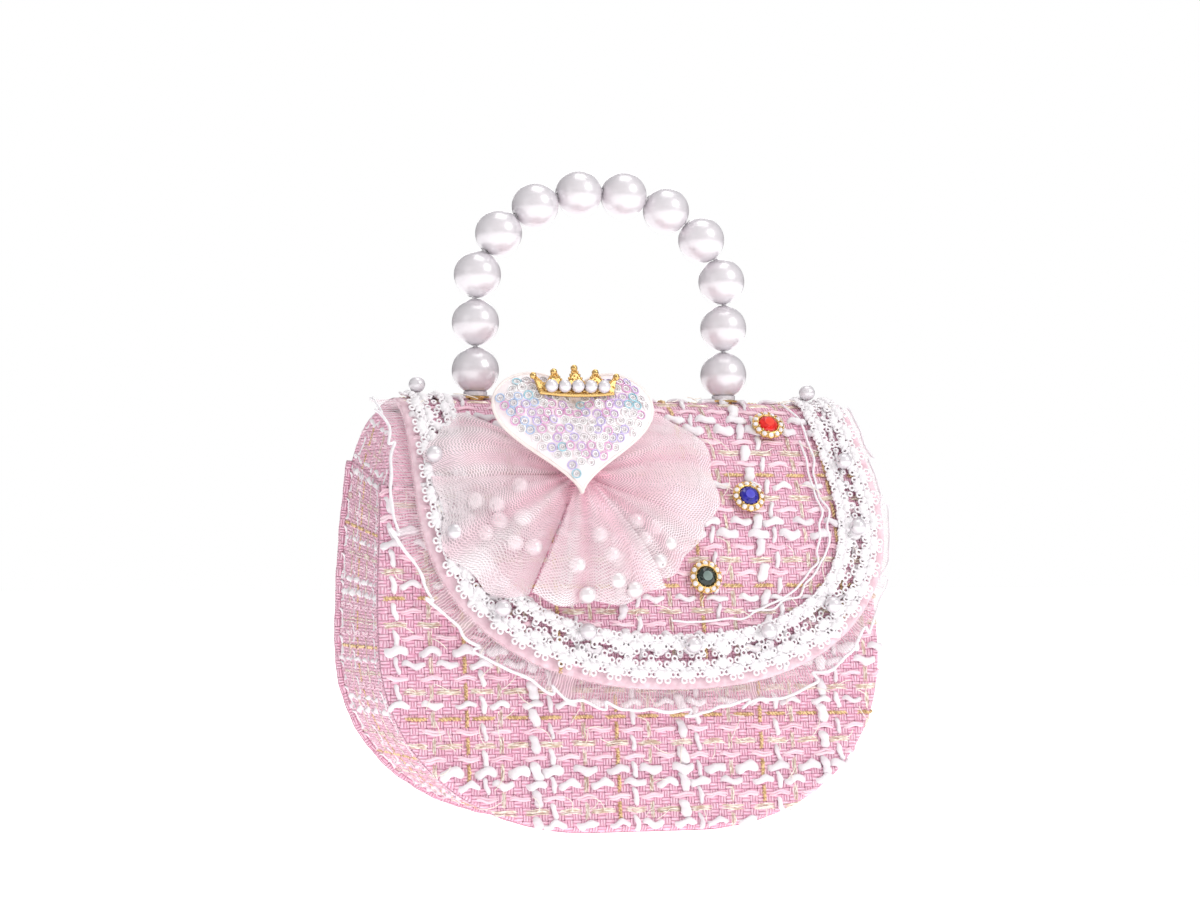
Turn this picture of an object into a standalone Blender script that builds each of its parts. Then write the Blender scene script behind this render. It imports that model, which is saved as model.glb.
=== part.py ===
"""Girl's small tweed handbag with a front flap and a pearl bead top handle.

The bag stands on its base at z = 0 with its front towards -Y. The front panel leans back, the
back panel stands upright, and a gusset joins them. The flap is hinged along the top of the back
panel, comes over the crest and down the front, and carries the trim and the handle.
"""

import math

import bmesh
import bpy
from mathutils import Matrix, Vector

MM = 0.001
GAP = 0.3 * MM

# Body: the front and back panels share one rounded outline.
FRONT_Y = -29.7 * MM
BACK_Y = 32.3 * MM
FRONT_HALF_WIDTH = 81.5 * MM
BACK_HALF_WIDTH = 84.0 * MM
BASE_HALF_FLAT = 14.0 * MM
WIDEST_Z = 58.0 * MM
CORNER_POWER = 2.2
TOP_NARROWING = 0.045
FRONT_TOP_Z = 106.0 * MM
BACK_TOP_Z = 114.6 * MM
FRONT_LEAN = 0.175
LEAN_START_Z = 80.0 * MM
LEAN_GROWTH = 6.4
PANEL_THICK = 3.5 * MM
GUSSET_THICK = 2.5 * MM
BOARD_THICK = 1.0 * MM
LINING_THICK = 0.8 * MM
BASE_BOARD_HALF = 46.0 * MM

# Flap: the inner face's section, from the hinge over the crest to past the front edge (Y, Z).
FLAP_SECTION = (
    (29.2, 115.0), (28.9, 121.0), (26.8, 126.6), (22.3, 130.0), (16.3, 131.0), (10.3, 129.4),
    (4.6, 125.0), (-0.4, 118.0), (-7.5, 106.0), (-12.8, 95.0), (-17.5, 80.0), (-20.0, 68.0),
    (-22.7, 57.0), (-25.3, 43.6), (-26.8, 34.5),
)
FLAP_FRONT_Z = 43.6 * MM
CREST_Y = 16.3 * MM
CREST_Z = 131.0 * MM
FLAP_LINING_THICK = 0.4 * MM
FLAP_BOARD_LIFT = 0.7 * MM
FLAP_BOARD_THICK = 0.7 * MM
FLAP_SHELL_LIFT = 1.7 * MM
FLAP_SHELL_THICK = 1.3 * MM
FLAP_OUTER = FLAP_SHELL_LIFT + FLAP_SHELL_THICK
FLAP_HINGE_HALF = 76.0 * MM
FLAP_CREST_HALF = 73.5 * MM
FLAP_TURN_HALF = 75.8 * MM
FLAP_OFFSET = 6.0 * MM
FLAP_DRIFT = 0.045
FLAP_ROUND = 59.0 * MM
FLAP_POWER = 2.3
CREST_STATIONS = (-17.0, -12.5, -8.5, -4.5, -0.5, 3.5, 8.0, 13.0, 20.0, 29.0)

# Trim on the flap.
LACE_INSET = 1.0 * MM
LACE_WIDTH = 16.5 * MM
LACE_THICK = 1.2 * MM
LACE_PEARL_R = 2.6 * MM
# Where the lace's pearls are sewn: across the flap and down from its crest, in mm. The second is under the bow.
LACE_PEARL_PLACES = (
    (-61.5, 1.3), (-62.5, 30.0), (-58.8, 54.9), (-45.4, 78.1), (-18.8, 85.6), (14.9, 89.8), (40.2, 85.8),
    (62.5, 77.6), (73.6, 52.9), (73.0, 31.0), (69.3, 3.8),
)
RUFFLE_OUT = 7.0 * MM
RUFFLE_OUT_RIGHT = 1.2 * MM
RUFFLE_THICK = 0.9 * MM
BOW_LIFT = FLAP_OUTER + LACE_THICK + 4 * GAP
HEART_CENTRE = Vector((-19.0, -17.2, 122.3)) * MM
HEART_HALF_WIDTH = 27.0 * MM
HEART_HALF_HEIGHT = 20.5 * MM
HEART_THICK = 7.0 * MM
HEART_TILT = math.radians(19.0)
CROWN_WIDTH = 27.0 * MM
CROWN_HEIGHT = 9.0 * MM
CROWN_THICK = 1.4 * MM
CROWN_POINTS = 5
CROWN_PEARL_R = 2.1 * MM
BUTTON_R = 5.2 * MM
CRYSTAL_R = 3.1 * MM
BUTTON_PLACES = (("red", 50.5, 17.0), ("blue", 39.0, 42.5), ("green", 21.5, 68.0))
SNAP_R = 6.5 * MM
SNAP_THICK = 1.0 * MM
SNAP_X = 10.0 * MM
SNAP_Z = 57.0 * MM

# Handle: beads threaded on one cord, two upright legs and a half-ellipse arch.
BEAD_R = 7.5 * MM
BEAD_BORE_R = 1.4 * MM
BEAD_PITCH = 15.32 * MM
BEADS = 12
CORD_R = 0.75 * MM
HANDLE_HALF = 42.0 * MM
ARCH_Z = 168.0 * MM
ARCH_HEIGHT = 33.5 * MM
EYELET_R = 2.9 * MM

HINGE_AXIS = Vector((0.0, 33.1 * MM, 115.0 * MM))


# ---------------------------------------------------------------- scene and helpers

for old in list(bpy.data.objects):
    bpy.data.objects.remove(old, do_unlink=True)

bag = bpy.data.collections.new("tweed_handbag")
cutters = bpy.data.collections.new("cutters")
bpy.context.scene.collection.children.link(bag)
bpy.context.scene.collection.children.link(cutters)


def material(name, colour, roughness, metallic=0.0):
    mat = bpy.data.materials.new(name)
    mat.use_nodes = True
    shader = mat.node_tree.nodes["Principled BSDF"]
    shader.inputs["Base Color"].default_value = (*colour, 1.0)
    shader.inputs["Roughness"].default_value = roughness
    shader.inputs["Metallic"].default_value = metallic
    return mat


TWEED = material("tweed", (0.86, 0.42, 0.54), 0.9)
LINING = material("lining", (0.93, 0.78, 0.82), 0.7)
BOARD = material("board", (0.62, 0.55, 0.45), 0.9)
LACE = material("lace", (0.95, 0.94, 0.95), 0.6)
ORGANZA = material("organza", (0.96, 0.86, 0.89), 0.5)
TULLE = material("tulle", (0.97, 0.75, 0.82), 0.7)
PEARL = material("pearl", (0.90, 0.89, 0.90), 0.2)
SEQUIN = material("sequin_cloth", (0.95, 0.90, 0.93), 0.3)
GOLD = material("gold", (0.85, 0.62, 0.30), 0.3, 1.0)
NICKEL = material("nickel", (0.75, 0.74, 0.72), 0.3, 1.0)
CORD = material("cord", (0.92, 0.92, 0.94), 0.6)
RED_GLASS = material("red_glass", (0.75, 0.05, 0.05), 0.05)
BLUE_GLASS = material("blue_glass", (0.04, 0.05, 0.45), 0.05)
GREEN_GLASS = material("green_glass", (0.03, 0.10, 0.08), 0.05)
GLASS = {"red": RED_GLASS, "blue": BLUE_GLASS, "green": GREEN_GLASS}


def pivot(name, place):
    empty = bpy.data.objects.new(name, None)
    empty.location = place
    empty.empty_display_size = 10 * MM
    bag.objects.link(empty)
    return empty


flap_pivot = pivot("flap_hinge_axis", HINGE_AXIS)


def add(name, mesh, mat, parent=None, smooth_angle=None):
    """Link a mesh, given in world space, as one named sub-part."""
    obj = bpy.data.objects.new(name, mesh)
    bag.objects.link(obj)
    if not mesh.materials:
        mesh.materials.append(mat)
    if parent is not None:
        obj.parent = parent
        obj.matrix_parent_inverse = Matrix.Translation(-parent_place(parent))
    if smooth_angle is not None:
        mesh.shade_smooth()
        mesh.set_sharp_from_angle(angle=math.radians(smooth_angle))
    return obj


def parent_place(empty):
    place = Vector(empty.location)
    while empty.parent is not None:
        empty = empty.parent
        place += empty.location
    return place


def solidify(obj, thickness):
    mod = obj.modifiers.new("thickness", "SOLIDIFY")
    mod.thickness = thickness
    mod.offset = -1.0
    mod.use_even_offset = False
    return obj


def surface(name, rows, mat, thickness, parent=None, outward=True):
    """A sheet through rows of points, given thickness behind its outward face."""
    bm = bmesh.new()
    grid = [[bm.verts.new(point) for point in row] for row in rows]
    for upper, lower in zip(grid, grid[1:]):
        for a, b, c, d in zip(upper, upper[1:], lower[1:], lower):
            bm.faces.new((d, c, b, a) if outward else (a, b, c, d))
    bmesh.ops.remove_doubles(bm, verts=bm.verts, dist=0.001 * MM)
    mesh = bpy.data.meshes.new(name)
    bm.to_mesh(mesh)
    bm.free()
    return solidify(add(name, mesh, mat, parent, 40), thickness)


def turned(name, profile, mat, matrix, parent=None, steps=16):
    """A profile of (radius, height) points, outer side first, spun about its own Z axis."""
    bm = bmesh.new()
    verts = [bm.verts.new((radius, 0.0, height)) for radius, height in profile]
    for a, b in zip(verts, verts[1:]):
        bm.edges.new((a, b))
    if profile[0][0] > 0.0 and profile[-1][0] > 0.0:
        bm.edges.new((verts[-1], verts[0]))
    mesh = bpy.data.meshes.new(name)
    bm.to_mesh(mesh)
    bm.free()
    obj = add(name, mesh, mat, parent)
    spin = obj.modifiers.new("turn", "SCREW")
    spin.steps = steps
    spin.render_steps = steps
    spin.use_merge_vertices = True
    spin.merge_threshold = 0.01 * MM
    spin.use_smooth_shade = True
    if parent is not None:
        obj.matrix_parent_inverse = Matrix.Translation(-parent_place(parent))
    obj.matrix_basis = matrix
    return obj


def boolean(obj, other, operation):
    mod = obj.modifiers.new(operation.lower(), "BOOLEAN")
    mod.operation = operation
    mod.object = other
    mod.solver = "EXACT"


def cutter(name, radius, low, high, matrix):
    bm = bmesh.new()
    bmesh.ops.create_cone(bm, cap_ends=True, segments=20, radius1=radius, radius2=radius, depth=high - low)
    bmesh.ops.translate(bm, verts=bm.verts, vec=(0.0, 0.0, 0.5 * (low + high)))
    mesh = bpy.data.meshes.new(name)
    bm.to_mesh(mesh)
    bm.free()
    obj = bpy.data.objects.new(name, mesh)
    obj.matrix_basis = matrix
    obj.hide_render = True
    obj.display_type = "WIRE"
    cutters.objects.link(obj)
    return obj


# ---------------------------------------------------------------- body pattern

def front_line(z):
    """Y of the front panel's outer face: a straight lean that grows above the lean's start."""
    extra = max(0.0, z - LEAN_START_Z)
    return FRONT_Y + FRONT_LEAN * z + LEAN_GROWTH * extra * extra


def front_slope(z):
    return FRONT_LEAN + 2.0 * LEAN_GROWTH * max(0.0, z - LEAN_START_Z)


def front_point(x, z, depth):
    """A point at a depth behind the front panel's outer face, the depth taken square to the lean."""
    return Vector((x, front_line(z) + depth * math.hypot(1.0, front_slope(z)), z))


def back_point(x, z, depth):
    return Vector((x, BACK_Y - depth, z))


def outline(half_width, inset, corner_steps=8, flat_steps=2):
    """Lower edge of a panel from -X to +X: a flat base and two superellipse corners."""
    reach = half_width - BASE_HALF_FLAT - inset
    rise = WIDEST_Z - inset
    right = []
    for step in range(corner_steps + 1):
        angle = 0.5 * math.pi * step / corner_steps
        x = BASE_HALF_FLAT + reach * math.sin(angle) ** (2.0 / CORNER_POWER)
        z = WIDEST_Z - rise * math.cos(angle) ** (2.0 / CORNER_POWER)
        right.append((x, z))
    left = [(-x, z) for x, z in reversed(right)]
    flat = [(BASE_HALF_FLAT * (2.0 * k / flat_steps - 1.0), inset) for k in range(1, flat_steps)]
    return left + flat + right


def taper(z, top_z):
    """Narrowing of the body above its widest level."""
    part = max(0.0, (z - WIDEST_Z) / (top_z - WIDEST_Z))
    return 1.0 - TOP_NARROWING * part * part


def panel_rows(point, half_width, inset, top_z, depth, rows=4):
    """Points of a panel-shaped sheet: one column for each point of the lower edge."""
    sheet = []
    for x, low in outline(half_width, inset):
        column = []
        for k in range(rows + 1):
            z = low + (top_z - low) * k / rows
            column.append(point(x * taper(z, top_z), z, depth))
        sheet.append(column)
    return sheet


def edge_path(half_width, inset, top_z, side_steps=4):
    """The panel's edge from the top at -X, round the base, to the top at +X."""
    lower = outline(half_width, inset)
    side = half_width - inset
    rises = [WIDEST_Z + (top_z - WIDEST_Z) * k / side_steps for k in range(1, side_steps + 1)]
    up = [(side * taper(z, top_z), z) for z in rises]
    return [(-x, z) for x, z in reversed(up)] + lower + up


def gusset_rows(inset, front_depth, back_depth, front_top, back_top, across=2):
    """Rows of a strip that follows the edge and spans from the front panel to the back one."""
    front_edge = edge_path(FRONT_HALF_WIDTH, inset, front_top)
    back_edge = edge_path(BACK_HALF_WIDTH, inset, back_top)
    rows = []
    for (fx, fz), (bx, bz) in zip(front_edge, back_edge):
        start = front_point(fx, fz, front_depth)
        end = back_point(bx, bz, back_depth)
        rows.append([start.lerp(end, k / across) for k in range(across + 1)])
    return rows


def build_body():
    board_depth = PANEL_THICK + 4 * GAP
    lining_depth = board_depth + BOARD_THICK + GAP
    lower_edge = PANEL_THICK * FRONT_LEAN
    rows = panel_rows(front_point, FRONT_HALF_WIDTH, lower_edge, FRONT_TOP_Z, 0.0)
    surface("front_panel", rows, TWEED, PANEL_THICK)
    rows = panel_rows(back_point, BACK_HALF_WIDTH, 0.0, BACK_TOP_Z, 0.0)
    surface("back_panel", rows, TWEED, PANEL_THICK, outward=False)
    side_depth = PANEL_THICK + GAP
    front_depth = side_depth + GUSSET_THICK * FRONT_LEAN
    rows = gusset_rows(0.0, front_depth, side_depth, FRONT_TOP_Z, BACK_TOP_Z)
    surface("gusset", rows, TWEED, GUSSET_THICK, outward=False)

    board_inset = GUSSET_THICK + 3.0 * MM
    rows = panel_rows(front_point, FRONT_HALF_WIDTH, board_inset, FRONT_TOP_Z - 2 * MM, board_depth)
    front_board = surface("front_board", rows, BOARD, BOARD_THICK)
    boolean(front_board, snap_cutter("front_board_hole", board_depth), "DIFFERENCE")
    rows = panel_rows(back_point, BACK_HALF_WIDTH, board_inset, BACK_TOP_Z - 2 * MM, board_depth)
    surface("back_board", rows, BOARD, BOARD_THICK, outward=False)
    build_base_board(lining_depth)
    build_lining(lining_depth)


def build_base_board(depth):
    """A stiff strip lying along the middle of the gusset, under the lining."""
    rows = gusset_rows(GUSSET_THICK + GAP, depth, depth, FRONT_TOP_Z, BACK_TOP_Z)
    middle = [row for row in rows if abs(row[0].x) < BASE_BOARD_HALF and row[0].z < WIDEST_Z]
    surface("base_board", middle, BOARD, BOARD_THICK, outward=False)


def build_lining(depth):
    """An open-topped pouch: front and back sheets joined by a strip round the edge."""
    inset = GUSSET_THICK + BOARD_THICK + 3 * GAP
    top_front = FRONT_TOP_Z - 1 * MM
    top_back = BACK_TOP_Z - 1 * MM
    bm = bmesh.new()
    sheets = (
        panel_rows(front_point, FRONT_HALF_WIDTH, inset, top_front, depth),
        panel_rows(back_point, BACK_HALF_WIDTH, inset, top_back, depth),
    )
    front, back = [[[bm.verts.new(p) for p in column] for column in sheet] for sheet in sheets]
    for sheet, outward in ((front, True), (back, False)):
        for left, right in zip(sheet, sheet[1:]):
            for a, b, c, d in zip(left, left[1:], right[1:], right):
                bm.faces.new((a, b, c, d) if outward else (d, c, b, a))
    front_rim = front[0][::-1] + [column[0] for column in front[1:-1]] + front[-1]
    back_rim = back[0][::-1] + [column[0] for column in back[1:-1]] + back[-1]
    for a, b, c, d in zip(front_rim, front_rim[1:], back_rim[1:], back_rim):
        bm.faces.new((d, c, b, a))
    bmesh.ops.recalc_face_normals(bm, faces=bm.faces)
    mesh = bpy.data.meshes.new("lining")
    bm.to_mesh(mesh)
    bm.free()
    pouch = solidify(add("lining", mesh, LINING, smooth_angle=40), LINING_THICK)
    pouch.modifiers["thickness"].use_even_offset = True


# ---------------------------------------------------------------- flap pattern

def smooth_line(points, steps=10):
    """A Catmull-Rom curve through a short list of points."""
    ends = [2 * points[0] - points[1]] + list(points) + [2 * points[-1] - points[-2]]
    line = []
    for a, b, c, d in zip(ends, ends[1:], ends[2:], ends[3:]):
        for k in range(steps):
            t = k / steps
            line.append(0.5 * (2 * b + (c - a) * t + (2 * a - 5 * b + 4 * c - d) * t * t
                               + (3 * b - a - 3 * c + d) * t * t * t))
    return line + [points[-1].copy()]


SECTION = smooth_line([Vector((y, z)) * MM for y, z in FLAP_SECTION])


def running_lengths(line):
    lengths = [0.0]
    for a, b in zip(line, line[1:]):
        lengths.append(lengths[-1] + (b - a).length)
    return lengths


SECTION_RUN = running_lengths(SECTION)
CREST_RUN = SECTION_RUN[max(range(len(SECTION)), key=lambda k: SECTION[k].y)]
HINGE_S = -CREST_RUN


def along(line, lengths, run):
    """The point at a running length, and the unit direction there."""
    run = min(max(run, 0.0), lengths[-1])
    k = 0
    while k < len(lengths) - 2 and lengths[k + 1] < run:
        k += 1
    part = (run - lengths[k]) / (lengths[k + 1] - lengths[k])
    return line[k].lerp(line[k + 1], part), (line[k + 1] - line[k]).normalized()


def section_s(z):
    """Distance in front of the crest at which the flap's section comes down to a height."""
    k = next(k for k in range(len(SECTION)) if SECTION_RUN[k] > CREST_RUN and SECTION[k].y <= z)
    return SECTION_RUN[k] - CREST_RUN


TURN_S = section_s(FLAP_FRONT_Z) - FLAP_ROUND


def flap_frame(s):
    """Section point and outward normal at a distance s in front of the crest (negative behind)."""
    step = 1.5 * MM
    point, _ = along(SECTION, SECTION_RUN, s + CREST_RUN)
    before, _ = along(SECTION, SECTION_RUN, s + CREST_RUN - step)
    after, _ = along(SECTION, SECTION_RUN, s + CREST_RUN + step)
    direction = (after - before).normalized()
    return point, Vector((direction.y, -direction.x))


def flap_point(x, s, lift):
    point, normal = flap_frame(s)
    place = point + lift * normal
    return Vector((x, place.x, place.y))


def flap_matrix(x, s, lift):
    """A frame on the flap whose Z axis is the outward normal."""
    _, normal = flap_frame(s)
    turn = Vector((0, 0, 1)).rotation_difference(Vector((0.0, normal.x, normal.y)))
    return Matrix.Translation(flap_point(x, s, lift)) @ turn.to_matrix().to_4x4()


def flap_centre(s):
    """The flap is stitched a little askew, so its middle drifts towards +X down the front."""
    if s < 0.0:
        return FLAP_OFFSET * (1.0 - s / HINGE_S)
    return FLAP_OFFSET + FLAP_DRIFT * s


def flap_half(s):
    if s < 0.0:
        return FLAP_CREST_HALF + (FLAP_HINGE_HALF - FLAP_CREST_HALF) * s / HINGE_S
    return FLAP_CREST_HALF + (FLAP_TURN_HALF - FLAP_CREST_HALF) * min(1.0, s / TURN_S)


def flap_rows(lift, margin, steps=7, rows=4):
    """Columns across the flap, each ending on the rounded front edge; close rows over the crest."""
    upper = [HINGE_S] + [s * MM for s in CREST_STATIONS] + [TURN_S]
    columns = []
    for k in range(-steps, steps + 1):
        angle = 0.5 * math.pi * abs(k) / steps
        u = math.copysign(math.sin(angle) ** (2.0 / FLAP_POWER), k)
        end = TURN_S + (FLAP_ROUND - margin) * math.cos(angle) ** (2.0 / FLAP_POWER)
        lower = [TURN_S + (end - TURN_S) * j / rows for j in range(1, rows + 1)]
        columns.append([flap_point(flap_centre(s) + u * (flap_half(s) - margin), s, lift)
                        for s in upper + lower])
    return columns


def flap_edge(start_s, corner_steps=24, side_steps=12):
    """Points (x, s) of the flap's edge in its flat pattern, from one side round to the other."""
    left = []
    for k in range(side_steps):
        s = start_s + (TURN_S - start_s) * k / side_steps
        left.append(Vector((flap_centre(s) - flap_half(s), s)))
    curve = []
    for k in range(2 * corner_steps + 1):
        angle = math.pi * (k / (2 * corner_steps)) - 0.5 * math.pi
        u = math.copysign(abs(math.sin(angle)) ** (2.0 / FLAP_POWER), angle)
        s = TURN_S + FLAP_ROUND * abs(math.cos(angle)) ** (2.0 / FLAP_POWER)
        curve.append(Vector((flap_centre(s) + u * flap_half(s), s)))
    right = []
    for k in range(side_steps):
        s = start_s + (TURN_S - start_s) * k / side_steps
        right.append(Vector((flap_centre(s) + flap_half(s), s)))
    return left + curve + right[::-1]


def inset_path(inset, start_s, count):
    """The edge moved inwards and read at equal steps; a function gives an inset that varies."""
    edge = flap_edge(start_s)
    moved = []
    for k, point in enumerate(edge):
        ahead = edge[min(k + 1, len(edge) - 1)] - edge[max(k - 1, 0)]
        inward = Vector((ahead.y, -ahead.x)).normalized()
        amount = inset(k / (len(edge) - 1)) if callable(inset) else inset
        moved.append(point + inward * amount)
    lengths = running_lengths(moved)
    return [along(moved, lengths, lengths[-1] * k / (count - 1))[0] for k in range(count)]


def build_flap():
    edge_margin = 1.2 * MM
    shell = surface("flap_shell", flap_rows(FLAP_OUTER, 0.0), TWEED, FLAP_SHELL_THICK, flap_pivot, False)
    board_lift = FLAP_BOARD_LIFT + FLAP_BOARD_THICK
    board = surface("flap_board", flap_rows(board_lift, edge_margin), BOARD, FLAP_BOARD_THICK, flap_pivot,
                    False)
    lining = surface("flap_lining", flap_rows(FLAP_LINING_THICK, 0.4 * MM), LINING, FLAP_LINING_THICK,
                     flap_pivot, False)
    for side, sign in (("left", -1.0), ("right", 1.0)):
        place = Matrix.Translation((sign * HANDLE_HALF, CREST_Y, CREST_Z))
        hole = cutter("eyelet_hole_" + side, EYELET_R + GAP, -5 * MM, 8 * MM, place)
        for layer in (shell, board, lining):
            boolean(layer, hole, "DIFFERENCE")
    snap_s = section_s(SNAP_Z)
    hole = cutter("flap_board_hole", SNAP_R + GAP, -4 * MM, 1.55 * MM, flap_matrix(SNAP_X, snap_s, 0.0))
    boolean(board, hole, "DIFFERENCE")


# ---------------------------------------------------------------- magnetic snap

def front_matrix(x, z, depth):
    """A frame on the front panel whose Z axis points out of the panel."""
    slope = front_slope(z)
    outward = Vector((0.0, -1.0, slope)).normalized()
    turn = Vector((0, 0, 1)).rotation_difference(outward)
    return Matrix.Translation(front_point(x, z, depth)) @ turn.to_matrix().to_4x4()


def snap_cutter(name, board_depth):
    place = front_matrix(SNAP_X, SNAP_Z, board_depth + 0.5 * BOARD_THICK)
    return cutter(name, SNAP_R + GAP, -3 * MM, 3 * MM, place)


def build_snap():
    disc = [(0.0, SNAP_THICK), (SNAP_R - 0.4 * MM, SNAP_THICK), (SNAP_R, SNAP_THICK - 0.4 * MM),
            (SNAP_R, 0.0), (0.0, 0.0)]
    turned("snap_socket", disc, NICKEL, front_matrix(SNAP_X, SNAP_Z, -GAP))
    board_depth = PANEL_THICK + 4 * GAP
    washer = [(SNAP_R, 0.8 * MM), (SNAP_R, 0.0), (2 * MM, 0.0), (2 * MM, 0.8 * MM)]
    turned("snap_socket_washer", washer, NICKEL,
           front_matrix(SNAP_X, SNAP_Z, board_depth + 0.9 * BOARD_THICK))
    snap_s = section_s(SNAP_Z)
    stud_lift = -GAP - SNAP_THICK
    flip = Matrix.Translation((0, 0, SNAP_THICK)) @ Matrix.Rotation(math.pi, 4, "X")
    turned("snap_stud", disc, NICKEL, flap_matrix(SNAP_X, snap_s, stud_lift) @ flip, flap_pivot)
    stud_washer = [(SNAP_R, 0.6 * MM), (SNAP_R, 0.0), (2 * MM, 0.0), (2 * MM, 0.6 * MM)]
    turned("snap_stud_washer", stud_washer, NICKEL,
           flap_matrix(SNAP_X, snap_s, FLAP_BOARD_LIFT + 0.05 * MM), flap_pivot)


# ---------------------------------------------------------------- flap trim

def band(name, inner, outer, lift, thickness, start_s, mat, stations=64):
    """A strip on the flap between two paths that follow its edge."""
    inner_path = inset_path(inner, start_s, stations)
    outer_path = inset_path(outer, start_s, stations)
    rows = []
    for a, b in zip(inner_path, outer_path):
        rows.append([flap_point(p.x, p.y, lift + thickness) for p in (a, a.lerp(b, 0.5), b)])
    return surface(name, rows, mat, thickness, flap_pivot, False)


def ruffle_width(part):
    """Full width on the left and along the front, little on the right where it turns under."""
    fade = min(1.0, max(0.0, (part - 0.62) / 0.16))
    return -(RUFFLE_OUT + (RUFFLE_OUT_RIGHT - RUFFLE_OUT) * fade)


def build_lace():
    lift = FLAP_OUTER + GAP
    band("lace_braid", LACE_INSET + LACE_WIDTH, LACE_INSET, lift, LACE_THICK, 1 * MM, LACE)
    ruffle_lift = FLAP_OUTER - RUFFLE_THICK
    band("ruffle", -GAP, ruffle_width, ruffle_lift, RUFFLE_THICK, 1 * MM, ORGANZA)
    for k, (x, s) in enumerate(LACE_PEARL_PLACES):
        centre = flap_point(x * MM, s * MM, lift + LACE_THICK + GAP + LACE_PEARL_R)
        ball("lace_pearl_%02d" % (k + 1), LACE_PEARL_R, centre, flap_pivot, 10, 6)


def ball(name, radius, centre, parent, segments=16, rings=10):
    bm = bmesh.new()
    bmesh.ops.create_uvsphere(bm, u_segments=segments, v_segments=rings, radius=radius)
    bmesh.ops.translate(bm, verts=bm.verts, vec=centre)
    mesh = bpy.data.meshes.new(name)
    bm.to_mesh(mesh)
    bm.free()
    return add(name, mesh, PEARL, parent, 180)


def pillow(name, centre, half_x, half_s, turn, lift, height, mat, tail=0.0, spokes=16, rings=3):
    """A soft mound on the flap: an oval base, narrowed towards one end by tail, domed outwards."""
    bm = bmesh.new()
    mid = Vector(centre) * MM

    def place(radius, angle, rise):
        local = Vector((half_x * math.cos(angle) * (1.0 + tail * math.sin(angle)),
                        half_s * math.sin(angle))) * radius
        spun = Matrix.Rotation(turn, 2) @ local
        return flap_point(mid.x + spun.x, mid.y + spun.y, lift + rise)

    top = []
    for ring in range(1, rings + 1):
        radius = ring / rings
        rise = height * (1.0 - radius ** 2.6)
        rise = max(rise, 0.8 * MM)
        top.append([bm.verts.new(place(radius, 2 * math.pi * k / spokes, rise)) for k in range(spokes)])
    base = []
    for ring in range(rings, 0, -1):
        base.append([bm.verts.new(place(ring / rings * 0.98, 2 * math.pi * k / spokes, 0.0))
                     for k in range(spokes)])
    crown_tip = bm.verts.new(place(0.0, 0.0, height))
    base_tip = bm.verts.new(place(0.0, 0.0, 0.0))
    loops = top + base
    for a, b in zip(loops, loops[1:]):
        for k in range(spokes):
            bm.faces.new((a[k], b[k], b[k - 1], a[k - 1]))
    for k in range(spokes):
        bm.faces.new((crown_tip, top[0][k], top[0][k - 1]))
        bm.faces.new((base_tip, base[-1][k - 1], base[-1][k]))
    bmesh.ops.recalc_face_normals(bm, faces=bm.faces)
    mesh = bpy.data.meshes.new(name)
    bm.to_mesh(mesh)
    bm.free()
    return add(name, mesh, mat, flap_pivot, 60)


def build_bow():
    lift = BOW_LIFT
    pillow("bow_left", (-41.5, 39.0), 13.0 * MM, 25.0 * MM, 0.0, lift, 5.5 * MM, TULLE)
    pillow("bow_right", (14.0, 34.0), 11.0 * MM, 20.0 * MM, 0.0, lift, 5.0 * MM, TULLE)
    pillow("bow_tail", (-9.5, 69.5), 24.0 * MM, 13.5 * MM, 0.0, lift, 3.6 * MM, TULLE, 0.15)
    pillow("bow_gather", (-12.5, 45.0), 10.5 * MM, 9.0 * MM, 0.0, lift, 3.0 * MM, TULLE)


# ---------------------------------------------------------------- heart pad and crown

def heart_matrix():
    """The pad's own frame: X across, Y up the pad, Z out of its face."""
    lean = Matrix.Rotation(0.5 * math.pi - HEART_TILT, 4, "X")
    return Matrix.Translation(HEART_CENTRE) @ lean


def heart_outline(count=16):
    """A plump heart, fitted to the pad's half sizes."""
    turns = [2.0 * math.pi * k / count for k in range(count)]
    rises = [13.0 * math.cos(t) - 5.0 * math.cos(2 * t) - 2.0 * math.cos(3 * t) - math.cos(4 * t) for t in turns]
    middle = 0.5 * (max(rises) + min(rises))
    reach = 0.5 * (max(rises) - min(rises))
    return [Vector((math.sin(t) ** 3 * HEART_HALF_WIDTH, (rise - middle) / reach * HEART_HALF_HEIGHT))
            for t, rise in zip(turns, rises)]


def build_heart():
    rim = heart_outline()
    bm = bmesh.new()
    place = heart_matrix()

    def loop(scale, height):
        return [bm.verts.new(place @ Vector((p.x * scale, p.y * scale, height))) for p in rim]

    half = 0.5 * HEART_THICK
    loops = [loop(0.45, half), loop(0.85, 0.72 * half), loop(1.0, 0.0), loop(0.85, -0.72 * half),
             loop(0.45, -half)]
    for a, b in zip(loops, loops[1:]):
        for k in range(len(rim)):
            bm.faces.new((a[k], b[k], b[k - 1], a[k - 1]))
    front = bm.verts.new(place @ Vector((0.0, 0.0, half)))
    back = bm.verts.new(place @ Vector((0.0, 0.0, -half)))
    for k in range(len(rim)):
        bm.faces.new((front, loops[0][k], loops[0][k - 1]))
        bm.faces.new((back, loops[-1][k - 1], loops[-1][k]))
    bmesh.ops.recalc_face_normals(bm, faces=bm.faces)
    mesh = bpy.data.meshes.new("heart_pad")
    bm.to_mesh(mesh)
    bm.free()
    pad = add("heart_pad", mesh, SEQUIN, flap_pivot, 180)
    soft = pad.modifiers.new("soft", "SUBSURF")
    soft.levels = 1
    soft.render_levels = 1


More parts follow.
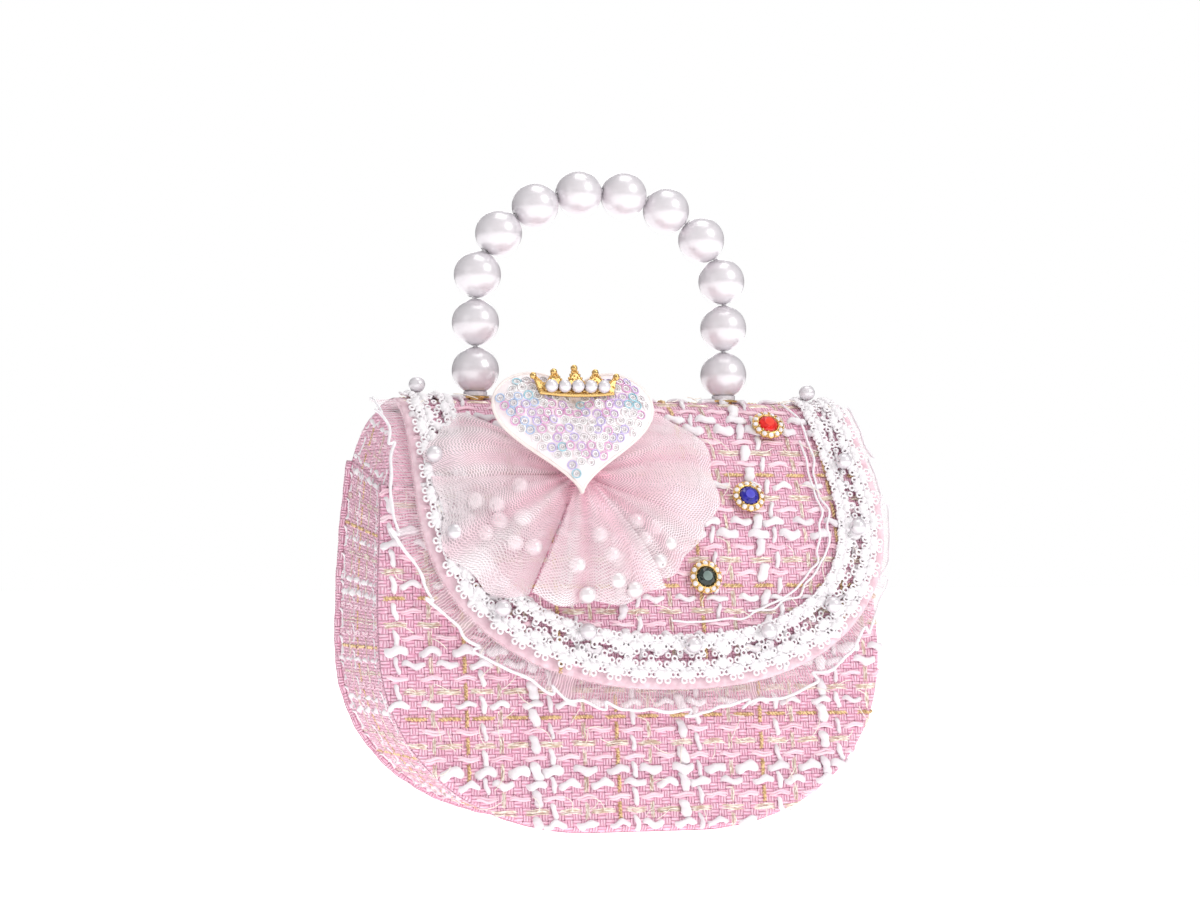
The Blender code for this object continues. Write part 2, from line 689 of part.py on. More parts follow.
def crown_outline():
    """A base line and five points, the middle one tallest."""
    half = 0.5 * CROWN_WIDTH
    points = [(-0.86 * half, 0.0)]
    for k in range(CROWN_POINTS):
        spread = 2.0 * k / (CROWN_POINTS - 1) - 1.0
        height = CROWN_HEIGHT * (1.0 - 0.30 * abs(spread))
        points.append((spread * half, height))
        if k < CROWN_POINTS - 1:
            valley = spread + 1.0 / (CROWN_POINTS - 1)
            points.append((valley * half * 0.94, 0.48 * CROWN_HEIGHT))
    points.append((0.86 * half, 0.0))
    return points


def crown_matrix():
    """The crown stands in front of the pad's upper part, parallel to the pad."""
    rise = Matrix.Translation((0.0, 0.50 * HEART_HALF_HEIGHT, 0.5 * HEART_THICK + GAP))
    return heart_matrix() @ rise


def build_crown():
    shape = bpy.data.curves.new("crown", "CURVE")
    shape.dimensions = "2D"
    shape.fill_mode = "BOTH"
    shape.extrude = 0.5 * CROWN_THICK
    points = crown_outline()
    line = shape.splines.new("POLY")
    line.points.add(len(points) - 1)
    for vert, (x, y) in zip(line.points, points):
        vert.co = (x, y, 0.5 * CROWN_THICK, 1.0)
    line.use_cyclic_u = True
    drawn = bpy.data.objects.new("crown_curve", shape)
    bag.objects.link(drawn)
    depsgraph = bpy.context.evaluated_depsgraph_get()
    mesh = bpy.data.meshes.new_from_object(drawn.evaluated_get(depsgraph))
    bpy.data.objects.remove(drawn, do_unlink=True)
    bm = bmesh.new()
    bm.from_mesh(mesh)
    bmesh.ops.remove_doubles(bm, verts=bm.verts, dist=0.01 * MM)
    bmesh.ops.recalc_face_normals(bm, faces=bm.faces)
    bmesh.ops.transform(bm, matrix=crown_matrix(), verts=bm.verts)
    bm.to_mesh(mesh)
    bm.free()
    mesh.name = "crown"
    mesh.materials.clear()
    crown = add("crown", mesh, GOLD, flap_pivot)
    for k, (x, y) in enumerate(points[1:-1:2]):
        tip = crown_matrix() @ Vector((x, y, 0.5 * CROWN_THICK))
        boolean(crown, union_ball("crown_tip_%d" % k, 1.1 * MM, tip), "UNION")


def union_ball(name, radius, centre):
    bm = bmesh.new()
    bmesh.ops.create_uvsphere(bm, u_segments=8, v_segments=6, radius=radius)
    bmesh.ops.translate(bm, verts=bm.verts, vec=centre)
    mesh = bpy.data.meshes.new(name)
    bm.to_mesh(mesh)
    bm.free()
    obj = bpy.data.objects.new(name, mesh)
    obj.hide_render = True
    obj.display_type = "WIRE"
    cutters.objects.link(obj)
    return obj


def build_crown_pearls():
    """Five small pearls strung on one wire across the front of the crown."""
    pitch = 2.0 * CROWN_PEARL_R + 0.2 * MM
    face = crown_matrix() @ Matrix.Translation(
        (0.0, 0.24 * CROWN_HEIGHT, CROWN_THICK + GAP + CROWN_PEARL_R))
    bm = bmesh.new()
    turn = Matrix.Rotation(0.5 * math.pi, 4, "Y")
    length = (CROWN_POINTS - 1) * pitch
    bmesh.ops.create_cone(bm, cap_ends=True, segments=8, radius1=0.5 * MM, radius2=0.5 * MM, depth=length,
                          matrix=turn)
    bmesh.ops.transform(bm, matrix=face, verts=bm.verts)
    mesh = bpy.data.meshes.new("crown_pearl_row")
    bm.to_mesh(mesh)
    bm.free()
    row = add("crown_pearl_row", mesh, PEARL, flap_pivot)
    for k in range(CROWN_POINTS):
        centre = face @ Vector(((k - 0.5 * (CROWN_POINTS - 1)) * pitch, 0.0, 0.0))
        boolean(row, union_ball("row_pearl_%d" % k, CROWN_PEARL_R, centre), "UNION")


# ---------------------------------------------------------------- buttons

def build_buttons():
    cup = [(BUTTON_R, 2.6 * MM), (BUTTON_R, 1.6 * MM), (0.72 * BUTTON_R, 0.0), (0.0, 0.0),
           (0.0, 1.2 * MM), (CRYSTAL_R + GAP, 1.2 * MM), (CRYSTAL_R + GAP, 2.6 * MM)]
    gem = [(0.0, 2.2 * MM), (0.62 * CRYSTAL_R, 2.2 * MM), (CRYSTAL_R, 1.2 * MM), (CRYSTAL_R, 0.6 * MM),
           (0.7 * CRYSTAL_R, 0.0), (0.0, 0.0)]
    for colour, x, s in BUTTON_PLACES:
        base = flap_matrix(x * MM, s * MM, FLAP_OUTER + GAP)
        lift = 3.0 if colour == "red" else 0.0
        base = base @ Matrix.Translation((0.0, 0.0, lift * GAP))
        turned("button_%s_setting" % colour, cup, GOLD, base, flap_pivot)
        seat = base @ Matrix.Translation((0.0, 0.0, 1.2 * MM + GAP))
        turned("button_%s_crystal" % colour, gem, GLASS[colour], seat, flap_pivot, 8)


# ---------------------------------------------------------------- handle

def handle_point(run):
    """A point on the handle's line, run measured from its top, negative towards -X."""
    side = math.copysign(1.0, run)
    left = abs(run)
    steps = 400
    place = Vector((0.0, ARCH_Z + ARCH_HEIGHT))
    for k in range(1, steps + 1):
        angle = 0.5 * math.pi * k / steps
        ahead = Vector((HANDLE_HALF * math.sin(angle), ARCH_Z + ARCH_HEIGHT * math.cos(angle)))
        hop = (ahead - place).length
        if hop >= left:
            place = place.lerp(ahead, left / hop)
            return Vector((side * place.x, CREST_Y, place.y))
        left -= hop
        place = ahead
    return Vector((side * HANDLE_HALF, CREST_Y, ARCH_Z - left))


BEAD_RUNS = [(k - 0.5 * (BEADS - 1)) * BEAD_PITCH for k in range(BEADS)]
SWING_AXIS = Vector((0.0, CREST_Y, handle_point(BEAD_RUNS[0]).z))
handle_pivot = pivot("handle_swing_axis", SWING_AXIS - HINGE_AXIS)
handle_pivot.parent = flap_pivot


def bead_direction(run):
    return (handle_point(run + 0.5 * MM) - handle_point(run - 0.5 * MM)).normalized()


def build_beads():
    """Round beads with a through bore, each turned about its own string direction."""
    start = math.asin(BEAD_BORE_R / BEAD_R)
    arcs = 7
    profile = []
    for k in range(arcs + 1):
        angle = start + (math.pi - 2.0 * start) * k / arcs
        profile.append((BEAD_R * math.sin(angle), BEAD_R * math.cos(angle)))
    for k, run in enumerate(BEAD_RUNS):
        turn = Vector((0, 0, 1)).rotation_difference(bead_direction(run)).to_matrix().to_4x4()
        place = Matrix.Translation(handle_point(run)) @ turn
        turned("handle_bead_%02d" % (k + 1), profile, PEARL, place, handle_pivot, 12)


def build_cord():
    """The cord runs straight through the middle of each bead and bends near the bores' mouths."""
    reach = 0.83 * BEAD_R
    points = []
    for run in BEAD_RUNS:
        centre = handle_point(run)
        direction = bead_direction(run)
        points += [centre - direction * reach, centre + direction * reach]
    points[0] = handle_point(BEAD_RUNS[0]) - bead_direction(BEAD_RUNS[0]) * (BEAD_R - 0.2 * MM)
    points[-1] = handle_point(BEAD_RUNS[-1]) + bead_direction(BEAD_RUNS[-1]) * (BEAD_R - 0.2 * MM)
    shape = bpy.data.curves.new("handle_cord", "CURVE")
    shape.dimensions = "3D"
    shape.bevel_depth = CORD_R
    shape.bevel_resolution = 2
    shape.use_fill_caps = True
    line = shape.splines.new("POLY")
    line.points.add(len(points) - 1)
    for vert, point in zip(line.points, points):
        vert.co = (*point, 1.0)
    shape.materials.append(CORD)
    cord = bpy.data.objects.new("handle_cord", shape)
    bag.objects.link(cord)
    cord.parent = handle_pivot
    cord.matrix_parent_inverse = Matrix.Translation(-parent_place(handle_pivot))


def build_anchors():
    """Where each end of the cord goes through the flap: eyelet, bead cap and knot."""
    top = CREST_Z + FLAP_OUTER + GAP
    flange = 4.6 * MM
    bore = 2.3 * MM
    eyelet = [(flange, 0.6 * MM), (flange, 0.0), (EYELET_R, 0.0), (EYELET_R, -4.0 * MM),
              (bore, -4.0 * MM), (bore, 0.6 * MM)]
    rim = 3.8 * MM
    hole = 1.6 * MM
    reach = BEAD_R + GAP

    def seat(radius):
        return SWING_AXIS.z - math.sqrt(reach * reach - radius * radius) - top

    cap_low = 0.6 * MM + 0.5 * GAP
    cap = [(rim, seat(rim)), (rim, cap_low), (hole, cap_low), (hole, max(seat(hole), cap_low + 0.15 * MM))]
    knot_r = 2.3 * MM
    for side, sign in (("left", -1.0), ("right", 1.0)):
        place = Matrix.Translation((sign * HANDLE_HALF, CREST_Y, top))
        turned("eyelet_" + side, eyelet, GOLD, place, flap_pivot)
        turned("bead_cap_" + side, cap, PEARL, place, flap_pivot)
        centre = Vector((sign * HANDLE_HALF, CREST_Y, top - 4.0 * MM - GAP - knot_r))
        knot = ball("cord_knot_" + side, knot_r, centre, flap_pivot, 10, 6)
        knot.data.materials.clear()
        knot.data.materials.append(CORD)


build_body()
build_flap()
build_snap()
build_lace()
build_bow()
build_heart()
build_crown()
build_crown_pearls()
build_buttons()
build_beads()
build_cord()
build_anchors()
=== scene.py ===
"""The looks of a girl's tweed handbag: woven cloth, lace, ruffle, tulle bow, sequins, pearls and stones."""

import math
import random

import bpy
import numpy as np
from mathutils import Matrix, Vector


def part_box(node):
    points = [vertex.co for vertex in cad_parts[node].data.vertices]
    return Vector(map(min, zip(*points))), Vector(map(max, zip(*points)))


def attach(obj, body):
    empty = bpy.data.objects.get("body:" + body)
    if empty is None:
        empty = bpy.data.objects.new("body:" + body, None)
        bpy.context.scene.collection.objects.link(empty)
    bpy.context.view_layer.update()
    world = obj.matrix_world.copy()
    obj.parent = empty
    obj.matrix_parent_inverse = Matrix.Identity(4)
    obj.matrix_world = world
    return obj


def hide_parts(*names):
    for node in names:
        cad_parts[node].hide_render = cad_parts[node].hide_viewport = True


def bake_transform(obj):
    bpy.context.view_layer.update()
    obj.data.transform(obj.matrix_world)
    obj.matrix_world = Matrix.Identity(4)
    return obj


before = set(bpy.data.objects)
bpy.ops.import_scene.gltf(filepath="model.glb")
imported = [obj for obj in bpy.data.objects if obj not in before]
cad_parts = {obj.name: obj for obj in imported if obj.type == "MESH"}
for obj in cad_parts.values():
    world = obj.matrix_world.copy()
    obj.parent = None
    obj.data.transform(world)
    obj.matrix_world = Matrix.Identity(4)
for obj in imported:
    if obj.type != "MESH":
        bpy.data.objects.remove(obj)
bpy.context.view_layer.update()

MM = 0.001
# The accent yarns' spacing across and along the cloth.
PITCH_U = 5.26 * MM
PITCH_V = 4.05 * MM
# Two repeatable sources of chance: one for arrays, one for single values.
rng = np.random.RandomState(11)
dice = random.Random(5)


# ---------------------------------------------------------------- meshes

def volume(verts, quads):
    """Six times the volume inside a closed shell, negative when its faces point inwards."""
    a, b, c, d = (verts[quads[:, k]] for k in range(4))
    return float((a * np.cross(b, c)).sum() + (a * np.cross(c, d)).sum())


class Soup:
    """Gathers shells and sheets into one mesh, with a material slot and a tone for each."""

    def __init__(self):
        self.verts = []
        self.faces = []
        self.slots = []
        self.tones = []
        self.weaves = []
        self.count = 0

    def add(self, verts, quads, slot=0, closed=True, caps=None, tone=None, weave=None):
        """Adds points and faces. A closed shell is turned so that its faces point outwards."""
        verts = np.asarray(verts, float).reshape(-1, 3)
        quads = np.asarray(quads, int)
        if closed and volume(verts, quads) < 0.0:
            quads = quads[:, ::-1]
            caps = None if caps is None else caps[:, ::-1]
        for group in (quads, caps):
            if group is not None:
                self.faces += (group + self.count).tolist()
                self.slots += [slot] * len(group)
        self.verts.append(verts)
        tone = np.zeros(len(verts)) if tone is None else np.asarray(tone, float)
        weave = np.zeros((len(verts), 3)) if weave is None else np.asarray(weave, float)
        self.tones.append(tone.reshape(-1))
        self.weaves.append(weave.reshape(-1, 3))
        self.count += len(verts)

    def piece(self, name, materials, body, smooth=True):
        """Makes the mesh object and lets it ride on a body."""
        mesh = bpy.data.meshes.new(name)
        mesh.from_pydata(np.concatenate(self.verts).tolist(), [], self.faces)
        for mat in materials:
            mesh.materials.append(mat)
        mesh.polygons.foreach_set("material_index", self.slots)
        tone = mesh.attributes.new("tone", "FLOAT", "POINT")
        tone.data.foreach_set("value", np.concatenate(self.tones))
        weave = mesh.attributes.new("weave", "FLOAT_VECTOR", "POINT")
        weave.data.foreach_set("vector", np.concatenate(self.weaves).ravel())
        mesh.validate()
        mesh.update()
        if smooth:
            mesh.shade_smooth()
        obj = bpy.data.objects.new(name, mesh)
        bpy.context.scene.collection.objects.link(obj)
        if body is not None:
            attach(obj, body)
        return obj


def grid_quads(rows, columns, wrap=False):
    """Quads of a rows x columns grid of points; wrap joins the last column to the first."""
    i, j = np.meshgrid(np.arange(rows - 1), np.arange(columns if wrap else columns - 1), indexing="ij")
    following = (j + 1) % columns
    corners = (i * columns + j, i * columns + following, (i + 1) * columns + following, (i + 1) * columns + j)
    return np.stack([c.ravel() for c in corners], axis=1)


def copies(quads, size, count):
    """The faces of count copies of a shell of size points."""
    return (quads[None] + size * np.arange(count)[:, None, None]).reshape(-1, quads.shape[1])


# The share of a small ball's half turn that is cut off at each pole.
POLE_GAP = 0.04


def ball_form(around=8, along=6):
    """A unit ball as rings of points, its poles on Y."""
    rings = []
    for k in range(along + 1):
        polar = math.pi * (POLE_GAP + (1.0 - 2.0 * POLE_GAP) * k / along)
        wide = math.sin(polar)
        for m in range(around):
            turn = 2.0 * math.pi * m / around
            rings.append((wide * math.cos(turn), -math.cos(polar), wide * math.sin(turn)))
    caps = np.array([range(around), range(around * along, around * (along + 1))])
    return np.array(rings), grid_quads(along + 1, around, True), caps


def ring_form(radius, tube, around=10, section=6):
    """A ring lying in the XY plane."""
    points = []
    for k in range(around):
        turn = 2.0 * math.pi * k / around
        for m in range(section):
            roll = 2.0 * math.pi * m / section
            reach = radius + tube * math.cos(roll)
            points.append((reach * math.cos(turn), reach * math.sin(turn), tube * math.sin(roll)))
    quads = grid_quads(around + 1, section, True) % (around * section)
    return np.array(points), quads


def tube_along(points, radius, sides=8, flat=1.0):
    """A round tube through a line of points, with a radius that may vary along it."""
    points = np.asarray(points, float)
    count = len(points)
    radius = np.broadcast_to(np.asarray(radius, float), (count,))
    tangent = np.gradient(points, axis=0)
    tangent /= np.linalg.norm(tangent, axis=1)[:, None] + 1e-12
    side = np.cross(tangent[0], (0.31, 0.17, 0.93))
    rings = np.zeros((count, sides, 3))
    turns = 2.0 * math.pi * np.arange(sides) / sides
    for k in range(count):
        side = side - tangent[k] * (side @ tangent[k])
        side /= np.linalg.norm(side) + 1e-12
        up = np.cross(tangent[k], side)
        spokes = np.cos(turns)[:, None] * side + flat * np.sin(turns)[:, None] * up
        rings[k] = points[k] + radius[k] * spokes
    caps = np.array([range(sides), range(sides * (count - 1), sides * count)])
    caps[0] = caps[0][::-1]
    return rings.reshape(-1, 3), grid_quads(count, sides, True), caps


def lathe(profile, steps):
    """A closed profile of (radius, height) points spun about Z."""
    turns = 2.0 * math.pi * np.arange(steps) / steps
    profile = np.asarray(profile, float)
    points = np.zeros((len(profile) + 1, steps, 3))
    for k, (radius, height) in enumerate(np.vstack([profile, profile[:1]])):
        points[k] = np.stack([radius * np.cos(turns), radius * np.sin(turns), np.full(steps, height)], axis=1)
    quads = grid_quads(len(profile) + 1, steps, True) % (len(profile) * steps)
    return points[:-1].reshape(-1, 3), quads


def slab(face, back, turned=False):
    """Two matching grids of points as one plate, joined round their edge.

    turned winds the rim's faces the other way, which changes how the edge is shaded.
    """
    rows, columns = face.shape[:2]
    size = rows * columns
    quads = grid_quads(rows, columns)
    border = np.concatenate([
        np.arange(columns),
        np.arange(1, rows) * columns + columns - 1,
        np.arange(columns - 2, -1, -1) + (rows - 1) * columns,
        np.arange(rows - 2, 0, -1) * columns,
    ])
    following = np.roll(border, -1)
    if turned:
        border, following = following, border
    rim = np.stack([following, border, border + size, following + size], axis=1)
    verts = np.concatenate([face.reshape(-1, 3), back.reshape(-1, 3)])
    return verts, np.concatenate([quads, quads[:, ::-1] + size, rim])


def running(line):
    """The running length at each point of a line."""
    return np.concatenate([[0.0], np.cumsum(np.linalg.norm(np.diff(line, axis=0), axis=1))])


def resampled(lines, runs, even):
    """Points at even running lengths along each of a sheet's lines."""
    points = np.zeros((len(lines), len(even), 3))
    for k, (line, run) in enumerate(zip(lines, runs)):
        for axis in range(3):
            points[k, :, axis] = np.interp(even, run, line[:, axis])
    return points


def upright_weave(verts):
    """Weave coordinates of cloth that hangs upright: across and up."""
    return np.stack([verts[:, 0], verts[:, 2], 0 * verts[:, 0]], axis=1)


def moved(verts, matrix):
    flat = np.array(matrix)
    return verts @ flat[:3, :3].T + flat[:3, 3]


# ---------------------------------------------------------------- materials

class Look:
    """A Principled material and shorthand for its nodes."""

    def __init__(self, name, colour, roughness, metallic=0.0, **sockets):
        self.mat = bpy.data.materials.new(name)
        self.mat.use_nodes = True
        self.nodes = self.mat.node_tree.nodes
        self.links = self.mat.node_tree.links
        self.shader = self.nodes["Principled BSDF"]
        self.put("Base Color", (*colour, 1.0))
        self.put("Roughness", roughness)
        self.put("Metallic", metallic)
        for key, value in sockets.items():
            self.put(key.replace("_", " "), value)

    def put(self, socket, value):
        if isinstance(value, bpy.types.NodeSocket):
            self.links.new(value, self.shader.inputs[socket])
        else:
            self.shader.inputs[socket].default_value = value

    def node(self, kind, inputs=(), **settings):
        node = self.nodes.new(kind)
        for key, value in settings.items():
            setattr(node, key, value)
        for key, value in dict(inputs).items():
            if isinstance(value, bpy.types.NodeSocket):
                self.links.new(value, node.inputs[key])
            else:
                node.inputs[key].default_value = value
        return node

    def math(self, operation, a, b=0.0, clamp=False):
        return self.node("ShaderNodeMath", {0: a, 1: b}, operation=operation, use_clamp=clamp).outputs[0]

    def times(self, a, b, clamp=False):
        return self.math("MULTIPLY", a, b, clamp)

    def plus(self, a, b, clamp=False):
        return self.math("ADD", a, b, clamp)

    def mix(self, factor, a, b):
        """A mix of two colours, whose sockets on the Mix node are numbers 6 and 7."""
        node = self.node("ShaderNodeMix", {0: factor}, data_type="RGBA")
        for index, value in ((6, a), (7, b)):
            if isinstance(value, bpy.types.NodeSocket):
                self.links.new(value, node.inputs[index])
            else:
                node.inputs[index].default_value = (*value, 1.0)
        return node.outputs[2]

    def noise(self, scale, detail=2.0, vector=None):
        inputs = {"Scale": scale, "Detail": detail}
        inputs["Vector"] = vector or self.place()
        return self.node("ShaderNodeTexNoise", inputs).outputs["Fac"]

    def place(self):
        return self.node("ShaderNodeTexCoord").outputs["Object"]

    def attribute(self, name, output="Fac"):
        return self.node("ShaderNodeAttribute", attribute_name=name).outputs[output]

    def bump(self, height, distance, strength=1.0):
        node = self.node("ShaderNodeBump", {"Height": height, "Distance": distance, "Strength": strength})
        self.put("Normal", node.outputs["Normal"])

    def split(self, vector):
        return self.node("ShaderNodeSeparateXYZ", {0: vector}).outputs


def srgb(red, green, blue):
    """A colour given in 0-255 display values, as linear light."""
    parts = (red / 255, green / 255, blue / 255)
    return tuple(((c + 0.055) / 1.055) ** 2.4 if c > 0.04 else c / 12.92 for c in parts)


def ribs(look, value, pitch):
    """Half-round ribs across a running length: 0 in the gaps, 1 on the crowns."""
    return look.math("ABSOLUTE", look.math("SINE", look.times(value, math.pi / pitch)))


def cell(look, value, pitch):
    """The number of the cell that a running length falls in."""
    return look.math("FLOOR", look.math("DIVIDE", value, pitch))


def basket_weave(look, cell_u, cell_v, strand_u, strand_v):
    """Height of a basket weave: groups of strands that take turns to lie on top."""
    u, v, _ = look.split(look.attribute("weave", "Vector"))
    wander = look.times(look.math("SUBTRACT", look.noise(420.0, 2.0), 0.5), 0.5 * MM)
    u = look.plus(u, wander)
    v = look.plus(v, wander)
    turn = look.plus(cell(look, u, cell_u), cell(look, v, cell_v))
    upright = look.math("FLOORED_MODULO", turn, 2.0)
    dip = 0.35
    warp = look.times(ribs(look, u, strand_u), look.math("POWER", ribs(look, v, cell_v), dip))
    weft = look.times(ribs(look, v, strand_v), look.math("POWER", ribs(look, u, cell_u), dip))
    mixed = look.node("ShaderNodeMix", {0: upright, 2: weft, 3: warp}, data_type="FLOAT")
    return mixed.outputs[0]


def ground_look():
    """Pink cotton ground: strands lighter on their crowns and darker in the gaps between their groups, which
    is painted highlight and painted shade.
    """
    look = Look("tweed_ground", srgb(240, 120, 170), 0.85, Sheen_Weight=0.3, Sheen_Roughness=0.5)
    cell_u, cell_v = 0.5 * PITCH_U, 0.5 * PITCH_V
    strand_u, strand_v = cell_u / 3.0, cell_v / 2.0
    height = basket_weave(look, cell_u, cell_v, strand_u, strand_v)
    u, v, _ = look.split(look.attribute("weave", "Vector"))
    group = look.node("ShaderNodeCombineXYZ", {0: cell(look, u, strand_u), 1: cell(look, v, strand_v)})
    chance = look.node("ShaderNodeTexWhiteNoise", {"Vector": group.outputs[0]}).outputs["Value"]
    patch = look.plus(look.times(look.noise(170.0, 3.0), 0.55), look.times(chance, 0.5))
    corner = look.times(ribs(look, u, cell_u), ribs(look, v, cell_v))
    # Painted shade: the holes between the strands' groups take a dark colour.
    hole = look.times(look.math("LESS_THAN", corner, 0.035), look.math("GREATER_THAN", chance, 0.35))
    deep = look.mix(patch, srgb(206, 98, 138), srgb(236, 140, 176))
    light = look.mix(patch, srgb(254, 181, 212), srgb(255, 227, 239))
    # The strands' colour follows their height: painted highlight on the crowns, painted shade in the gaps.
    strands = look.mix(look.math("POWER", height, 0.45), deep, light)
    look.put("Base Color", look.mix(look.times(hole, 0.85), strands, srgb(120, 40, 72)))
    look.bump(height, 0.45 * MM)
    return look.mat


def yarn_look(name, dark, light, roughness, metallic=0.0, grain=900.0, relief=0.12, **sockets):
    """A yarn whose colour goes from dark to light with its strands and its own tone."""
    look = Look(name, light, roughness, metallic, **sockets)
    strand = look.noise(grain, 3.0)
    tone = look.plus(look.times(look.attribute("tone"), 0.55), look.times(strand, 0.45), True)
    look.put("Base Color", look.mix(tone, dark, light))
    look.bump(strand, relief * MM)
    return look.mat


def pearl_look(name="pearl_lustre", body=(228, 225, 229), edge=(192, 187, 193)):
    """Pearl lacquer: a bright body, a clear coat, and an edge painted greyer where the surface turns from the
    camera, a painted shade.
    """
    look = Look(name, srgb(*body), 0.3, 0.25, Coat_Weight=0.7, Coat_Roughness=0.18, Specular_IOR_Level=0.7)
    # Painted shade: the colour greys towards the edge as the surface turns from the camera.
    painted_edge_shade = look.node("ShaderNodeLayerWeight", {"Blend": 0.45}).outputs["Facing"]
    cloud = look.noise(120.0, 2.0)
    blush = look.mix(cloud, srgb(*body), srgb(234, 226, 230))
    look.put("Base Color", look.mix(painted_edge_shade, blush, srgb(*edge)))
    look.bump(look.noise(1500.0, 1.0), 0.01 * MM)
    return look.mat


def satin_look(name, dark, light, grain=700.0, relief=0.1):
    """Mercerised cotton: fine fibres with a soft sheen."""
    look = Look(name, light, 0.42, Sheen_Weight=0.3, Sheen_Roughness=0.4)
    fibres = look.noise(grain, 4.0)
    look.put("Base Color", look.mix(fibres, dark, light))
    look.put("Roughness", look.plus(0.36, look.times(fibres, 0.2)))
    look.bump(fibres, relief * MM)
    return look.mat


def board_look():
    """Pressed fibre board."""
    look = Look("stiffener_board", srgb(196, 180, 152), 0.85)
    fibre = look.noise(420.0, 5.0)
    look.put("Base Color", look.mix(fibre, srgb(176, 158, 128), srgb(214, 200, 176)))
    look.bump(fibre, 0.05 * MM)
    return look.mat


def lining_look():
    """Thin satin-weave lining: fine twill lines and soft creases, with painted shade in the creases' hollows.
    """
    look = Look("lining_satin", srgb(246, 214, 224), 0.45, Sheen_Weight=0.3, Sheen_Roughness=0.4)
    x, _, z = look.split(look.place())
    lines = ribs(look, look.plus(x, look.times(z, 0.6)), 0.45 * MM)
    crease = look.noise(45.0, 3.0)
    # Painted shade: the crease noise that lowers the bump also darkens the colour in the hollows.
    look.put("Base Color", look.mix(crease, srgb(240, 186, 205), srgb(253, 220, 230)))
    look.bump(look.plus(look.times(lines, 0.15), crease), 0.6 * MM, 0.5)
    return look.mat


def metal_look(name, colour, roughness):
    """Plated metal with faint wear in its colour and gloss."""
    look = Look(name, colour, roughness, 1.0)
    wear = look.noise(300.0, 3.0)
    darker = tuple(c * 0.72 for c in colour)
    look.put("Base Color", look.mix(wear, darker, colour))
    look.put("Roughness", look.plus(roughness - 0.06, look.times(wear, 0.16)))
    look.bump(wear, 0.02 * MM)
    return look.mat


def stone_look(name, deep, bright):
    """Foil-backed glass: a deep colour that brightens in patches, which are painted glints."""
    look = Look(name, srgb(*bright), 0.08, Coat_Weight=0.35, Coat_Roughness=0.03, Specular_IOR_Level=0.5)
    cloud = look.noise(420.0, 1.0)
    # The bright patches are painted glints of light off the foil.
    look.put("Base Color", look.mix(look.math("POWER", cloud, 1.5), srgb(*deep), srgb(*bright)))
    look.bump(cloud, 0.02 * MM)
    return look.mat


def sheer(look, alpha, glow, share=0.5):
    """Turns a look into thin cloth: open by its alpha, and lit through from behind by a share."""
    look.put("Alpha", 1.0)
    through = look.node("ShaderNodeBsdfTranslucent", {"Color": (*glow, 1.0)})
    cloth = look.node("ShaderNodeMixShader", {0: share})
    look.links.new(look.shader.outputs[0], cloth.inputs[1])
    look.links.new(through.outputs[0], cloth.inputs[2])
    clear = look.node("ShaderNodeBsdfTransparent")
    whole = look.node("ShaderNodeMixShader", {0: alpha})
    look.links.new(clear.outputs[0], whole.inputs[1])
    look.links.new(cloth.outputs[0], whole.inputs[2])
    look.links.new(whole.outputs[0], look.nodes["Material Output"].inputs["Surface"])
    return look.mat


def net_look(name, pitch, dark, light):
    """Soft net: round holes in a hexagonal order; the cloth's tone deepens where it is gathered and in its
    pleats' folds, the latter painted shade.
    """
    look = Look(name, light, 0.75, Sheen_Weight=0.3, Sheen_Roughness=0.5)
    u, v, _ = look.split(look.attribute("weave", "Vector"))
    wander = look.times(look.noise(140.0, 2.0), 3.0 * MM)
    u = look.plus(u, wander)
    v = look.math("SUBTRACT", look.plus(v, look.times(u, 0.45)), wander)
    slant = look.times(u, 0.58)
    rising = ribs(look, look.plus(slant, v), pitch)
    falling = ribs(look, look.math("SUBTRACT", slant, v), pitch)
    hole = look.times(rising, falling)
    thread = look.math("LESS_THAN", hole, 0.42)
    layers = look.times(look.math("SUBTRACT", look.noise(55.0, 2.0), 0.45), 1.2, True)
    alpha = look.plus(look.plus(0.20, look.times(thread, 0.52)), layers, True)
    look.put("Base Color", look.mix(look.attribute("tone"), dark, light))
    return sheer(look, alpha, between(dark, light), 0.34)


def between(dark, light):
    """The glow of light through the net, nearer to its light tone."""
    return tuple(0.35 * a + 0.65 * b for a, b in zip(dark, light))


def organza_look():
    """Sheer pleated strip: fine white lines across its width over a faint body."""
    look = Look("organza", srgb(252, 244, 247), 0.6, Sheen_Weight=0.2)
    u, v, _ = look.split(look.attribute("weave", "Vector"))
    wobble = look.times(look.noise(300.0, 2.0), 1.4 * MM)
    line = look.math("POWER", ribs(look, look.plus(u, wobble), 0.85 * MM), 4.0)
    look.put("Base Color", look.mix(look.noise(200.0, 2.0), srgb(246, 228, 234), srgb(255, 252, 253)))
    lines = look.times(line, 0.45)
    folds = look.times(look.attribute("tone"), 0.6)
    alpha = look.plus(0.17, look.plus(lines, folds), True)
    return sheer(look, alpha, srgb(252, 244, 247))


def film_look(name, colour, alpha):
    """Thin glossy plastic film for the sequins."""
    look = Look(name, colour, 0.12, Coat_Weight=0.8, Specular_IOR_Level=0.8)
    shift = look.noise(400.0, 1.0)
    look.put("Base Color", look.mix(shift, colour, tuple(0.5 + 0.5 * c for c in colour)))
    look.put("Alpha", alpha)
    return look.mat


def hem_look():
    """Streaky sheer tape for the flap's turned edge."""
    look = Look("sheer_hem", srgb(250, 214, 225), 0.55, Sheen_Weight=0.3)
    streak = look.noise(380.0, 2.0)
    look.put("Base Color", look.mix(streak, srgb(248, 200, 215), srgb(254, 234, 240)))
    look.put("Alpha", look.plus(0.6, look.times(streak, 0.4)))
    look.bump(streak, 0.05 * MM)
    return look.mat


